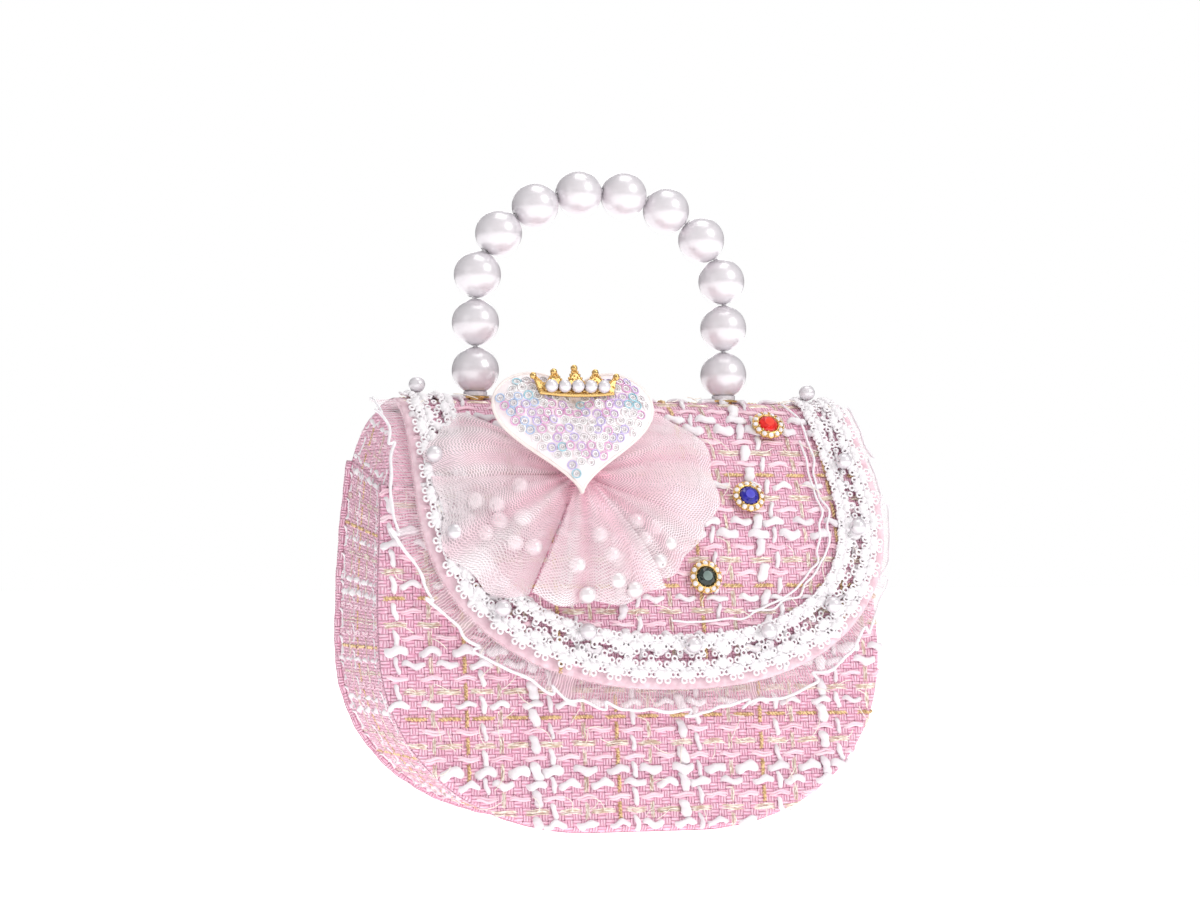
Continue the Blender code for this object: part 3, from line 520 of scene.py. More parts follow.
def sequin_cloth_look():
    """Mottled satin under the sequins."""
    look = Look("sequin_ground", srgb(244, 228, 232), 0.4, Sheen_Weight=0.3, Coat_Weight=0.2)
    mottle = look.noise(260.0, 3.0)
    look.put("Base Color", look.mix(mottle, srgb(248, 230, 235), srgb(254, 247, 246)))
    look.bump(look.noise(700.0, 3.0), 0.15 * MM)
    return look.mat


GROUND = ground_look()
WHITE_YARN = yarn_look("yarn_white", srgb(224, 216, 221), srgb(247, 243, 245), 0.55, relief=0.2)
PINK_YARN = yarn_look("yarn_light_pink", srgb(250, 196, 215), srgb(253, 232, 238), 0.85, relief=0.35,
                      Sheen_Weight=0.5)
GOLD_YARN = yarn_look("yarn_gold", srgb(172, 132, 84), srgb(244, 216, 166), 0.36, 0.45, 1400.0)
CHAMPAGNE_YARN = yarn_look("yarn_champagne", srgb(196, 156, 124), srgb(255, 248, 236), 0.3, 0.25, 1400.0)
TWEED = (GROUND, WHITE_YARN, PINK_YARN, GOLD_YARN, CHAMPAGNE_YARN)
WHITE, PINK, GOLD, CHAMPAGNE = 1, 2, 3, 4
PEARL = pearl_look()
PEARL_SOFT = pearl_look("pearl_cream", (246, 238, 238), (222, 208, 212))
SATIN_WHITE = satin_look("lace_satin", srgb(234, 229, 232), srgb(249, 246, 248), 900.0, 0.04)
CORD_WHITE = satin_look("cord_white", srgb(228, 222, 227), srgb(250, 248, 250), 1200.0)
THREAD = satin_look("sewing_thread", srgb(236, 150, 184), srgb(252, 198, 217), 2200.0)
GOLD_METAL = metal_look("gold_plate", srgb(236, 196, 128), 0.24)
NICKEL = metal_look("nickel_plate", srgb(205, 202, 196), 0.25)
BOARD = board_look()
LINING = lining_look()
ORGANZA = organza_look()
TULLE = net_look("tulle", 0.9 * MM, srgb(255, 202, 219), srgb(255, 252, 253))
# Each button's crystal: the stone's deep and bright colours, then the lighter ones of its flat top, which are
# a painted reflection.
STONE_AND_REFLECTION_TONES = {
    "red": ((190, 0, 4), (255, 30, 16), (236, 40, 30), (255, 96, 70)),
    "blue": ((14, 8, 110), (38, 30, 186), (70, 66, 190), (110, 108, 214)),
    "green": ((8, 22, 18), (28, 50, 42), (104, 122, 116), (150, 164, 158)),
}
STONES = {
    colour: (stone_look(colour + "_stone", *tones[:2]), stone_look(colour + "_table_reflection", *tones[2:]))
    for colour, tones in STONE_AND_REFLECTION_TONES.items()
}
CLEAR_STONE = stone_look("clear_stone", (214, 206, 210), (252, 250, 252))
HEM = hem_look()
SEQUIN_CLOTH = sequin_cloth_look()
SATIN_CREAM = satin_look("pad_piping", srgb(240, 224, 222), srgb(250, 240, 234))
SEQUIN_TONES = {
    "violet": (206, 150, 226), "magenta": (232, 138, 208), "lilac": (192, 168, 236), "cyan": (120, 202, 222),
    "ice": (160, 190, 236), "clear": (250, 240, 246), "white": (255, 255, 255),
}
SEQUIN_TINTS = tuple(film_look("sequin_" + name, srgb(*tone), 0.95) for name, tone in SEQUIN_TONES.items())
SEQUIN_DISC = film_look("sequin_disc", srgb(255, 249, 251), 0.55)


# ---------------------------------------------------------------- the bag's own shapes

_, front_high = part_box("front_panel")
_, back_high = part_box("back_panel")

FRONT_Y = -29.7 * MM
BACK_Y = back_high.y
FRONT_HALF_WIDTH = 81.5 * MM
BACK_HALF_WIDTH = back_high.x
BASE_HALF_FLAT = 14.0 * MM
WIDEST_Z = 58.0 * MM
CORNER_POWER = 2.2
TOP_NARROWING = 0.045
FRONT_TOP_Z = front_high.z
BACK_TOP_Z = back_high.z
FRONT_LEAN = 0.175
LEAN_START_Z = 80.0 * MM
LEAN_GROWTH = 6.4
PANEL_THICK = 3.5 * MM
EDGE_ROLL = 2.2 * MM
GUSSET_SINK = 1.1 * MM

# The flap's inner face from the hinge over the crest to the front edge: y and z in mm.
FLAP_SECTION = (
    (29.2, 115.0), (28.9, 121.0), (26.8, 126.6), (22.3, 130.0), (16.3, 131.0), (10.3, 129.4),
    (4.6, 125.0), (-0.4, 118.0), (-7.5, 106.0), (-12.8, 95.0), (-17.5, 80.0), (-20.0, 68.0),
    (-22.7, 57.0), (-25.3, 43.6), (-26.8, 34.5),
)
FLAP_FRONT_Z = 43.6 * MM
FLAP_OUTER = 3.0 * MM
FLAP_SHELL_THICK = 1.3 * MM
FLAP_HINGE_HALF = 76.0 * MM
FLAP_CREST_HALF = 73.5 * MM
FLAP_TURN_HALF = 75.8 * MM
FLAP_OFFSET = 6.0 * MM
FLAP_DRIFT = 0.045
FLAP_ROUND = 59.0 * MM
FLAP_POWER = 2.3


def front_line(z):
    """Y of the front panel's face at a height: it leans back, more so near the top."""
    extra = np.maximum(0.0, z - LEAN_START_Z)
    return FRONT_Y + FRONT_LEAN * z + LEAN_GROWTH * extra * extra


def front_slope(z):
    return FRONT_LEAN + 2.0 * LEAN_GROWTH * np.maximum(0.0, z - LEAN_START_Z)


def taper(z, top_z):
    """How much a panel narrows above its widest height."""
    part = np.maximum(0.0, (z - WIDEST_Z) / (top_z - WIDEST_Z))
    return 1.0 - TOP_NARROWING * part * part


def outline(half_width, top_z, side_steps=20, corner_steps=30, base_steps=24):
    """A panel's edge from the top at -X, round the base, to the top at +X, and its outward directions."""
    rises = np.linspace(top_z, WIDEST_Z, side_steps + 1)[:-1]
    side = np.stack([-half_width * taper(rises, top_z), rises], axis=1)
    angle = np.linspace(0.5 * math.pi, 0.0, corner_steps + 1)
    reach = half_width - BASE_HALF_FLAT
    corner = np.stack([
        -BASE_HALF_FLAT - reach * np.abs(np.sin(angle)) ** (2.0 / CORNER_POWER),
        WIDEST_Z - WIDEST_Z * np.abs(np.cos(angle)) ** (2.0 / CORNER_POWER),
    ], axis=1)
    left = np.vstack([side, corner])
    base = np.stack([np.linspace(-BASE_HALF_FLAT, BASE_HALF_FLAT, base_steps + 1)[1:-1],
                     np.zeros(base_steps - 1)], axis=1)
    right = left[::-1] * (-1.0, 1.0)
    path = np.vstack([left, base, right])
    ahead = np.gradient(path, axis=0)
    outward = np.stack([ahead[:, 1], -ahead[:, 0]], axis=1)
    outward /= np.linalg.norm(outward, axis=1)[:, None]
    return path, outward, len(left), base_steps


class Surface:
    """A cloth surface known on a grid of running lengths; at() gives points at a height above it."""

    def __init__(self, u, v, points, flip=1.0):
        self.u, self.v, self.points = u, v, points
        along_u = np.gradient(points, axis=0)
        along_v = np.gradient(points, axis=1)
        normal = np.cross(along_u, along_v) * flip
        self.normals = normal / (np.linalg.norm(normal, axis=2)[:, :, None] + 1e-12)

    def at(self, u, v, h):
        i = np.clip((u - self.u[0]) / (self.u[1] - self.u[0]), 0.0, len(self.u) - 1.001)
        j = np.clip((v - self.v[0]) / (self.v[1] - self.v[0]), 0.0, len(self.v) - 1.001)
        i0, j0 = i.astype(int), j.astype(int)
        fi, fj = (i - i0)[..., None], (j - j0)[..., None]

        def read(table):
            near = table[i0, j0] * (1 - fj) + table[i0, j0 + 1] * fj
            far = table[i0 + 1, j0] * (1 - fj) + table[i0 + 1, j0 + 1] * fj
            return near * (1 - fi) + far * fi

        return read(self.points) + read(self.normals) * np.asarray(h)[..., None]


def rolled(path, outward, amount):
    """Where a point lies that is an amount beyond the roll's start: (x, z) and depth behind the face."""
    phi = np.clip(amount / EDGE_ROLL, 0.0, None)
    arc = np.minimum(phi, 0.5 * math.pi)
    lateral = EDGE_ROLL * np.sin(arc)
    depth = EDGE_ROLL * (1.0 - np.cos(arc)) + EDGE_ROLL * np.maximum(0.0, phi - 0.5 * math.pi)
    centre = path - outward * EDGE_ROLL
    return centre + outward * lateral[..., None], depth


def front_place(flat, depth):
    """Puts pattern points (x, z) on the front panel, at a depth behind its face."""
    x, z = flat[..., 0], flat[..., 1]
    puff = 0.9 * MM * np.clip(1.0 - (x / FRONT_HALF_WIDTH) ** 2, 0.0, 1.0) * np.sin(
        math.pi * np.clip(z / FRONT_TOP_Z, 0.0, 1.0))
    y = front_line(z) + depth * np.hypot(1.0, front_slope(z)) - puff
    return np.stack([x, y, z], axis=-1)


def back_place(flat, depth):
    """Puts pattern points (x, z) on the back panel, at a depth in front of its face."""
    x, z = flat[..., 0], flat[..., 1]
    return np.stack([x, BACK_Y - depth, z], axis=-1)


def panel_surface(half_width, top_z, place, flip):
    """The face, the rolled edge and the side wall of a panel, over its flat pattern (x, z)."""
    path, outward, _, _ = outline(half_width, top_z, 60, 90, 60)
    u = np.arange(-half_width - 6 * MM, half_width + 6 * MM, 1.0 * MM)
    v = np.arange(-6 * MM, top_z + 1 * MM, 1.0 * MM)
    grid = np.stack(np.meshgrid(u, v, indexing="ij"), axis=-1)
    points = np.zeros((len(u), len(v), 3))
    gap = np.zeros((len(u), len(v)))
    for k in range(len(u)):
        away = grid[k][:, None, :] - path[None]
        distance = np.linalg.norm(away, axis=2)
        near = distance.argmin(axis=1)
        inside = -(away[np.arange(len(v)), near] * outward[near]).sum(axis=1)
        gap[k] = inside
        bent, depth = rolled(path[near], outward[near], EDGE_ROLL - inside)
        flat = np.where((inside < EDGE_ROLL)[:, None], bent, grid[k])
        points[k] = place(flat, np.where(inside < EDGE_ROLL, depth, 0.0))
    return Surface(u, v, points, flip), gap


def panel_soup(soup, half_width, top_z, place, thickness):
    """A closed panel: face, rolled edge, side wall and inner face."""
    path, outward, side_count, base_steps = outline(half_width, top_z)
    total = len(path)
    rings = []
    lengths = np.concatenate([np.linspace(0.0, 0.5 * math.pi * EDGE_ROLL, 6),
                              [0.5 * math.pi * EDGE_ROLL + (thickness - EDGE_ROLL)]])
    for amount in lengths:
        flat, depth = rolled(path, outward, np.full(total, amount))
        rings.append((flat, depth))
    rings.append((path - outward * EDGE_ROLL, np.full(total, thickness)))

    def fill(ring):
        flat, depth = ring
        rows = []
        part = np.linspace(0.0, 1.0, base_steps + 1)[:, None]
        for k in range(side_count):
            rows.append(flat[k] * (1 - part) + flat[total - 1 - k] * part)
        return place(np.array(rows), np.full((side_count, base_steps + 1), depth[0]))

    face = fill(rings[0])
    inner = fill(rings[-1])
    wall = np.array([place(flat, depth) for flat, depth in rings])
    verts = np.concatenate([face.reshape(-1, 3), inner.reshape(-1, 3), wall.reshape(-1, 3)])
    size = side_count * (base_steps + 1)
    face_quads = grid_quads(side_count, base_steps + 1)
    quads = np.concatenate([
        face_quads,
        face_quads[:, ::-1] + size,
        grid_quads(len(rings), total)[:, ::-1] + 2 * size,
    ])
    soup.add(verts, quads, 0, closed=False, weave=upright_weave(verts))


# ---------------------------------------------------------------- tweed

WEFT_ROWS = ("wavy", "gold", "pink", "champagne", "pink", "thick", "plump", "pink", "champagne")
WARP_REPEAT = 9
WARP_COLUMNS = {0: "fat", 1: "slim", 3: "foil", 5: "chain", 6: "slim", 7: "foil"}
# Each accent yarn: material slot, then the length, width, height, wave and lean of its float, in mm.
YARNS = {
    "wavy": (WHITE, 7.5, 1.9, 1.5, 0.66, 0.0),
    "thick": (WHITE, 8.0, 2.95, 2.0, 0.66, 0.0),
    "plump": (WHITE, 7.7, 2.3, 1.7, 0.7, 0.0),
    "pink": (PINK, 7.8, 0.95, 0.8, 0.4, 0.0),
    "gold": (GOLD, 7.4, 0.72, 0.72, 0.1, 0.0),
    "champagne": (CHAMPAGNE, 8.2, 0.42, 0.4, 0.2, 0.0),
    "fat": (WHITE, 6.1, 3.1, 2.0, 0.2, -0.26),
    "slim": (WHITE, 5.8, 1.6, 1.25, 0.24, -0.18),
    "chain": (GOLD, 5.6, 0.74, 0.74, 0.06, 0.0),
    "foil": (CHAMPAGNE, 5.8, 0.4, 0.4, 0.1, 0.0),
}
STRANDS = {"champagne": 4, "foil": 3, "pink": 2, "gold": 2, "chain": 2}
PLY_PITCH = 2.3 * MM
PLY_REACH = 0.36 * MM


def lay_floats(soup, surface, kind, centres, across):
    """Lays the visible stretches of one yarn on a surface. across: the yarn runs along u, else along v."""
    slot, length, width, height, wave, lean = YARNS[kind]
    count = len(centres)
    if not count:
        return
    segments, sides = {WHITE: (14, 9), GOLD: (20, 6)}.get(slot, (9, 5))
    t = np.linspace(-1.0, 1.0, segments + 1)[None, :, None]
    turn = (2.0 * math.pi * np.arange(sides) / sides)[None, None, :]
    strands = STRANDS.get(kind, 1)
    bend = np.where(rng.uniform(size=(count, 1, 1)) > 0.35, 1.0, -1.0)
    for strand in range(strands):
        draws = rng.uniform(-1.0, 1.0, (6, count, 1, 1))
        half = 0.5 * length * MM * (1.0 + 0.06 * draws[0])
        swell = 1.0 + 0.14 * draws[1] + 0.12 * np.sin(6.0 * t + 3.0 * draws[2])
        body = np.sqrt(np.clip(1.0 - 0.93 * np.abs(t) ** 4.0, 0.0, 1.0)) * swell
        side = wave * MM * bend * (0.55 * np.cos(4.4 * t) + 0.6 * np.sin(3.1 * t + 0.8 * draws[4]))
        side = side + lean * half * t + 0.1 * MM * draws[2]
        rise = 0.5 * height * MM * (0.95 - 1.6 * t ** 4) - 0.05 * MM
        if slot == GOLD:
            phase = 2.0 * math.pi * half * t / PLY_PITCH + math.pi * strand
            side = side + PLY_REACH * np.cos(phase)
            rise = rise + 0.7 * PLY_REACH * np.sin(phase)
        else:
            side = side + (strand - 0.5 * (strands - 1)) * (0.42 if slot == CHAMPAGNE else 0.62) * MM
            rise = rise + (0.2 * MM * draws[5] if slot == CHAMPAGNE else 0.0)
        along = half * t + 0 * turn
        lateral = side + 0.5 * width * MM * body * np.cos(turn)
        lift = rise + 0.5 * height * MM * body * np.sin(turn)
        u0 = centres[:, 0][:, None, None]
        v0 = centres[:, 1][:, None, None]
        u, v = (u0 + along, v0 + lateral) if across else (u0 + lateral, v0 + along)
        lift = lift + 0 * along
        verts = surface.at(u, v, lift).reshape(-1, 3)
        size = (segments + 1) * sides
        caps = np.array([list(range(sides))[::-1], range(sides * segments, sides * (segments + 1))])
        tone = np.repeat(0.5 + 0.5 * draws[1].reshape(-1), size)
        # Painted sparkle: each ring of the gold and champagne yarns gets its own random tone, so they glint
        # along their length.
        if slot in (GOLD, CHAMPAGNE):
            tone = np.repeat(rng.uniform(0.0, 1.6, count * (segments + 1)) ** 1.5, sides)
        soup.add(verts, copies(grid_quads(segments + 1, sides, True), size, count), slot,
                 caps=copies(caps, size, count), tone=tone)


def lay_whiskers(soup, surface, spots):
    """Loose ends of foil that stand off the cloth."""
    for u, v in spots:
        length = dice.uniform(3.0, 8.0) * MM
        heading = dice.uniform(0.0, 2.0 * math.pi)
        part = np.linspace(0.0, 1.0, 5)
        bow = dice.uniform(-1.2, 1.2) * MM * np.sin(math.pi * part)
        us = u + length * part * math.cos(heading) - bow * math.sin(heading)
        vs = v + length * part * math.sin(heading) + bow * math.cos(heading)
        lift = 1.2 * MM + dice.uniform(0.4, 1.4) * MM * np.sin(math.pi * 0.6 * part)
        verts, quads, caps = tube_along(surface.at(us, vs, lift), 0.15 * MM, 4)
        soup.add(verts, quads, CHAMPAGNE, caps=caps, tone=np.full(len(verts), 1.3))


def weave_accents(soup, surface, keep, origin, u_range, v_range, whiskers):
    """Accent yarns over and under the ground: a weft float and a warp float take turns at each crossing."""
    starts = {}
    low_i, high_i = (math.ceil((edge - origin[0]) / PITCH_U) for edge in u_range)
    low_j, high_j = (math.ceil((edge - origin[1]) / PITCH_V) for edge in v_range)
    for j in range(low_j, high_j):
        for i in range(low_i, high_i):
            u = origin[0] + i * PITCH_U
            v = origin[1] + j * PITCH_V
            if (i + j) % 2 == 0:
                kind = WEFT_ROWS[-j % len(WEFT_ROWS)]
                starts.setdefault((kind, True), []).append((u, v))
            elif i % WARP_REPEAT in WARP_COLUMNS:
                starts.setdefault((WARP_COLUMNS[i % WARP_REPEAT], False), []).append((u, v))
    spots = []
    for (kind, across), places in sorted(starts.items()):
        centres = np.array([place for place in places if keep(*place)])
        lay_floats(soup, surface, kind, centres, across)
        if YARNS[kind][0] == CHAMPAGNE:
            spots += [tuple(place) for place in centres]
    dice.shuffle(spots)
    lay_whiskers(soup, surface, spots[:whiskers])


def inside_panel(surface, gap, limit, clear=None, radius=0.0):
    """Tells whether a float's centre lies on the panel, and outside a round clearing."""
    def keep(u, v):
        if clear is not None and math.hypot(u - clear[0], v - clear[1]) < radius:
            return False
        i = int(np.clip((u - surface.u[0]) / MM, 0, gap.shape[0] - 1))
        j = int(np.clip((v - surface.v[0]) / MM, 0, gap.shape[1] - 1))
        return gap[i, j] > limit
    return keep


# How far the front's accents stay clear of the snap's socket.
SNAP_CLEARANCE = 3.2 * MM


def build_front_panel():
    face, gap = panel_surface(FRONT_HALF_WIDTH, FRONT_TOP_Z, front_place, 1.0)
    soup = Soup()
    panel_soup(soup, FRONT_HALF_WIDTH, FRONT_TOP_Z, front_place, PANEL_THICK)
    snap_low, snap_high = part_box("snap_socket")
    snap = 0.5 * (snap_low + snap_high)
    clearing = 0.5 * (snap_high.x - snap_low.x) + SNAP_CLEARANCE
    keep = inside_panel(face, gap, -0.5 * MM, (snap.x, snap.z), clearing)
    across = (-FRONT_HALF_WIDTH, FRONT_HALF_WIDTH)
    weave_accents(soup, face, keep, (12.6 * MM, 2.6 * MM), across, (0.0, FRONT_TOP_Z - 1.5 * MM), 150)
    piece = soup.piece("front_cloth", TWEED, "bag_body")
    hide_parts("front_panel")


def build_back_panel():
    face, gap = panel_surface(BACK_HALF_WIDTH, BACK_TOP_Z, back_place, -1.0)
    soup = Soup()
    panel_soup(soup, BACK_HALF_WIDTH, BACK_TOP_Z, back_place, PANEL_THICK)
    keep = inside_panel(face, gap, 2.4 * MM)
    across = (-BACK_HALF_WIDTH, BACK_HALF_WIDTH)
    weave_accents(soup, face, keep, (-9.0 * MM, 0.6 * MM), across, (0.0, BACK_TOP_Z - 2.5 * MM), 110)
    piece = soup.piece("back_cloth", TWEED, "bag_body")
    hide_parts("back_panel")


def gusset_grid(sink, across_steps):
    """Points of the side strip: one row for each point of the edge, from the front panel to the back one."""
    front_path, front_out, _, _ = outline(FRONT_HALF_WIDTH, FRONT_TOP_Z)
    back_path, back_out, _, _ = outline(BACK_HALF_WIDTH, BACK_TOP_Z)
    start = front_place(front_path - front_out * sink, np.full(len(front_path), PANEL_THICK - 0.2 * MM))
    end = back_place(back_path - back_out * sink, np.full(len(back_path), PANEL_THICK - 0.2 * MM))
    part = np.linspace(0.0, 1.0, across_steps + 1)[None, :, None]
    return start[:, None] * (1 - part) + end[:, None] * part


GUSSET_DEPTH = 55.0 * MM
GUSSET_THICK = 1.2 * MM
GUSSET_STEPS = 24
WING_STEPS = 12
WING_TALLEST = 26.0 * MM
WING_LEAN = 0.3
WING_FRONT = 7.0 * MM
WING_GAP = 1.1 * MM
WING_THICK = 1.2 * MM
ROOF_STEPS = 8
ROOF_REACH = 16.0 * MM


def add_wing(soup, line, sign):
    """The gusset's shoulder: it rises from the gusset's top line under the flap and folds inwards."""
    steps = np.linspace(-WING_FRONT, -0.5 * MM, 5)
    ahead = line[:1] + np.array([[0.0, step, 0.0] for step in steps])
    line = np.concatenate([ahead, line])
    ceiling = np.interp(line[:, 1], SECTION[::-1, 0], SECTION[::-1, 1]) - WING_GAP
    rise = np.maximum(0.2 * MM, ceiling - line[:, 2])
    part = np.linspace(0.0, 1.0, WING_STEPS + 1)[:, None]
    z = line[None, :, 2] + rise[None] * part
    x = line[None, :, 0] - sign * WING_LEAN * rise[None] * part
    y = np.repeat(line[None, :, 1], WING_STEPS + 1, axis=0)
    wall = np.stack([x, y, z], axis=-1)
    part = np.linspace(0.0, 1.0, ROOF_STEPS + 1)[1:, None]
    inward = ROOF_REACH * part * np.clip(rise[None] / (3.0 * MM), 0.3, 1.0)
    roof = np.repeat(wall[-1:], ROOF_STEPS, axis=0)
    roof[:, :, 0] -= sign * inward
    roof[:, :, 2] -= 0.6 * MM * part + 0.3 * MM * np.sin(math.pi * part)
    face = np.concatenate([wall, roof])
    under = np.zeros(face.shape)
    under[:WING_STEPS + 1, :, 0] = sign * WING_THICK
    under[WING_STEPS:, :, 2] = WING_THICK
    verts, quads = slab(face, face - under, turned=True)
    run = np.concatenate([z, z[-1:] + inward])
    weave = np.stack([face[:, :, 1], run, 0 * run], axis=-1).reshape(-1, 3)
    soup.add(verts, quads, 0, weave=np.concatenate([weave] * 2))
    columns = len(line)
    lengths = np.linspace(0.0, 1.0, columns) * abs(line[-1, 1] - line[0, 1])
    even = np.arange(0.0, WING_TALLEST, 0.5 * MM)
    points = resampled(wall.transpose(1, 0, 2), (z - line[:, 2]).T, even)
    outside = Surface(lengths, even, points, -sign)

    def keep(u, v):
        k = int(np.clip(u / lengths[-1] * (columns - 1), 0, columns - 1))
        return v < rise[k] - 1.5 * MM

    margin = 2.0 * MM
    along = (margin, lengths[-1] - margin)
    weave_accents(soup, outside, keep, (margin, margin), along, (0.0, WING_TALLEST), 6)


def build_gusset():
    """The strip round the sides and the base, with its two shoulders."""
    outer = gusset_grid(GUSSET_SINK, GUSSET_STEPS)
    inner = gusset_grid(GUSSET_SINK + GUSSET_THICK, GUSSET_STEPS)
    rows, columns = outer.shape[:2]
    run = running(outer[:, columns // 2])
    depth = np.linspace(0.0, 1.0, columns) * GUSSET_DEPTH
    weave = np.zeros((rows, columns, 3))
    weave[:, :, 0] = depth[None]
    weave[:, :, 1] = run[:, None]
    soup = Soup()
    size = rows * columns
    grid = np.arange(size).reshape(rows, columns)
    quads = grid_quads(rows, columns)
    faces = [quads, quads[:, ::-1] + size]
    for line in (grid[:, 0], grid[:, -1], grid[0], grid[-1]):
        faces.append(np.stack([line[:-1], line[1:], line[1:] + size, line[:-1] + size], axis=1))
    verts = np.concatenate([outer.reshape(-1, 3), inner.reshape(-1, 3)])
    weave = np.concatenate([weave.reshape(-1, 3)] * 2)
    soup.add(verts, np.concatenate(faces), 0, closed=False, weave=weave)
    for end, sign in ((0, -1.0), (rows - 1, 1.0)):
        add_wing(soup, outer[end], sign)
    # Even running lengths along the strip let the yarns keep their pitch.
    even = np.arange(0.0, run[-1], 1.0 * MM)
    points = resampled(outer.transpose(1, 0, 2), [run] * columns, even)
    strip = Surface(depth, even, points, -1.0)
    origin = (4.0 * MM, 0.5 * run[-1] + 1.2 * MM)

    def keep(u, v):
        return 2.0 * MM < u < GUSSET_DEPTH - 2.0 * MM

    weave_accents(soup, strip, keep, origin, (0.0, GUSSET_DEPTH), (1.0 * MM, run[-1] - 1.0 * MM), 120)
    piece = soup.piece("gusset_cloth", TWEED, "bag_body")
    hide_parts("gusset")


WELT_R = 2.0 * MM
STITCH_PITCH = 3.6 * MM


def build_welt():
    """The raised roll of bare tweed round the back panel's edge, and a thinner one round the front's."""
    for name, half_width, top_z, place, radius, depth in (
        ("back_welt", BACK_HALF_WIDTH, BACK_TOP_Z, back_place, WELT_R, 2.3 * MM),
        ("front_welt", FRONT_HALF_WIDTH, FRONT_TOP_Z, front_place, 0.45 * WELT_R, 2.9 * MM),
    ):
        path, outward, _, _ = outline(half_width, top_z, 24, 60, 30)
        line = place(path - outward * (radius - 0.4 * MM), np.full(len(path), depth))
        sides = 12
        run = running(line)
        uneven = 1.0 + 0.05 * np.sin(run / (2.6 * MM)) + 0.04 * np.sin(run / (1.1 * MM))
        verts, quads, caps = tube_along(line, radius * uneven, sides)
        weave = np.zeros((len(path), sides, 3))
        weave[:, :, 0] = run[:, None]
        weave[:, :, 1] = (np.arange(sides) * 2.0 * math.pi * radius / sides)[None]
        soup = Soup()
        soup.add(verts, quads, 0, caps=caps, weave=weave)
        soup.piece(name, (GROUND,), "bag_body")


def build_stitches():
    """Sewing thread along the hems of the front and back panels."""
    soup = Soup()
    for half_width, z, place, side in (
        (70.0 * MM, FRONT_TOP_Z - 2.2 * MM, front_place, -1.0),
        (74.0 * MM, BACK_TOP_Z - 4.4 * MM, back_place, 1.0),
    ):
        for k in range(int(2.0 * half_width / STITCH_PITCH)):
            x = -half_width + (k + 0.5) * STITCH_PITCH
            part = np.linspace(-1.0, 1.0, 7)
            flat = np.stack([x + part * 0.36 * STITCH_PITCH, z + 0.15 * MM * part], axis=-1)
            points = place(flat, np.zeros(len(part)))
            points[:, 1] += side * (0.32 * MM - 0.5 * MM * part ** 4)
            verts, quads, caps = tube_along(points, 0.3 * MM, 6)
            soup.add(verts, quads, 0, caps=caps)
    soup.piece("hem_stitches", (THREAD,), "bag_body")


# ---------------------------------------------------------------- flap

def smooth_section(steps=10):
    """A Catmull-Rom curve through the section's points."""
    points = [Vector((y, z)) * MM for y, z in FLAP_SECTION]
    ends = [2 * points[0] - points[1]] + points + [2 * points[-1] - points[-2]]
    line = []
    for a, b, c, d in zip(ends, ends[1:], ends[2:], ends[3:]):
        for k in range(steps):
            t = k / steps
            line.append(0.5 * (2 * b + (c - a) * t + (2 * a - 5 * b + 4 * c - d) * t * t
                               + (3 * b - a - 3 * c + d) * t * t * t))
    return np.array(line + [points[-1]])


SECTION = smooth_section()
SECTION_RUN = running(SECTION)
CREST_RUN = SECTION_RUN[SECTION[:, 1].argmax()]
SECTION_S = SECTION_RUN - CREST_RUN
HINGE_S = -CREST_RUN
heading = np.gradient(SECTION, axis=0)
heading /= np.linalg.norm(heading, axis=1)[:, None]
SECTION_NORMAL = np.stack([heading[:, 1], -heading[:, 0]], axis=1)
for smoothing in range(3):
    SECTION_NORMAL[1:-1] = (SECTION_NORMAL[:-2] + SECTION_NORMAL[1:-1] + SECTION_NORMAL[2:]) / 3.0


def section_s(z):
    """Distance in front of the crest at which the section comes down to a height."""
    ahead = SECTION_S >= 0.0
    return np.interp(-z, -SECTION[ahead, 1], SECTION_S[ahead])


TURN_S = float(section_s(FLAP_FRONT_Z)) - FLAP_ROUND


def on_flap(x, s, h):
    """A point on the flap: x across, s from the crest towards the front edge, h above its inner face."""
    x, s, h = np.broadcast_arrays(np.asarray(x, float), np.asarray(s, float), np.asarray(h, float))
    y, z, ny, nz = (np.interp(s, SECTION_S, table) for table in (*SECTION.T, *SECTION_NORMAL.T))
    return np.stack([x, y + h * ny, z + h * nz], axis=-1)


def flap_centre(s):
    """X of the flap's middle at a distance s in front of the crest."""
    return np.where(s < 0.0, FLAP_OFFSET * (1.0 - s / HINGE_S), FLAP_OFFSET + FLAP_DRIFT * s)


def flap_half(s):
    """Half the flap's width at s, as far as its round front begins."""
    back = FLAP_CREST_HALF + (FLAP_HINGE_HALF - FLAP_CREST_HALF) * s / HINGE_S
    front = FLAP_CREST_HALF + (FLAP_TURN_HALF - FLAP_CREST_HALF) * np.minimum(1.0, s / TURN_S)
    return np.where(s < 0.0, back, front)


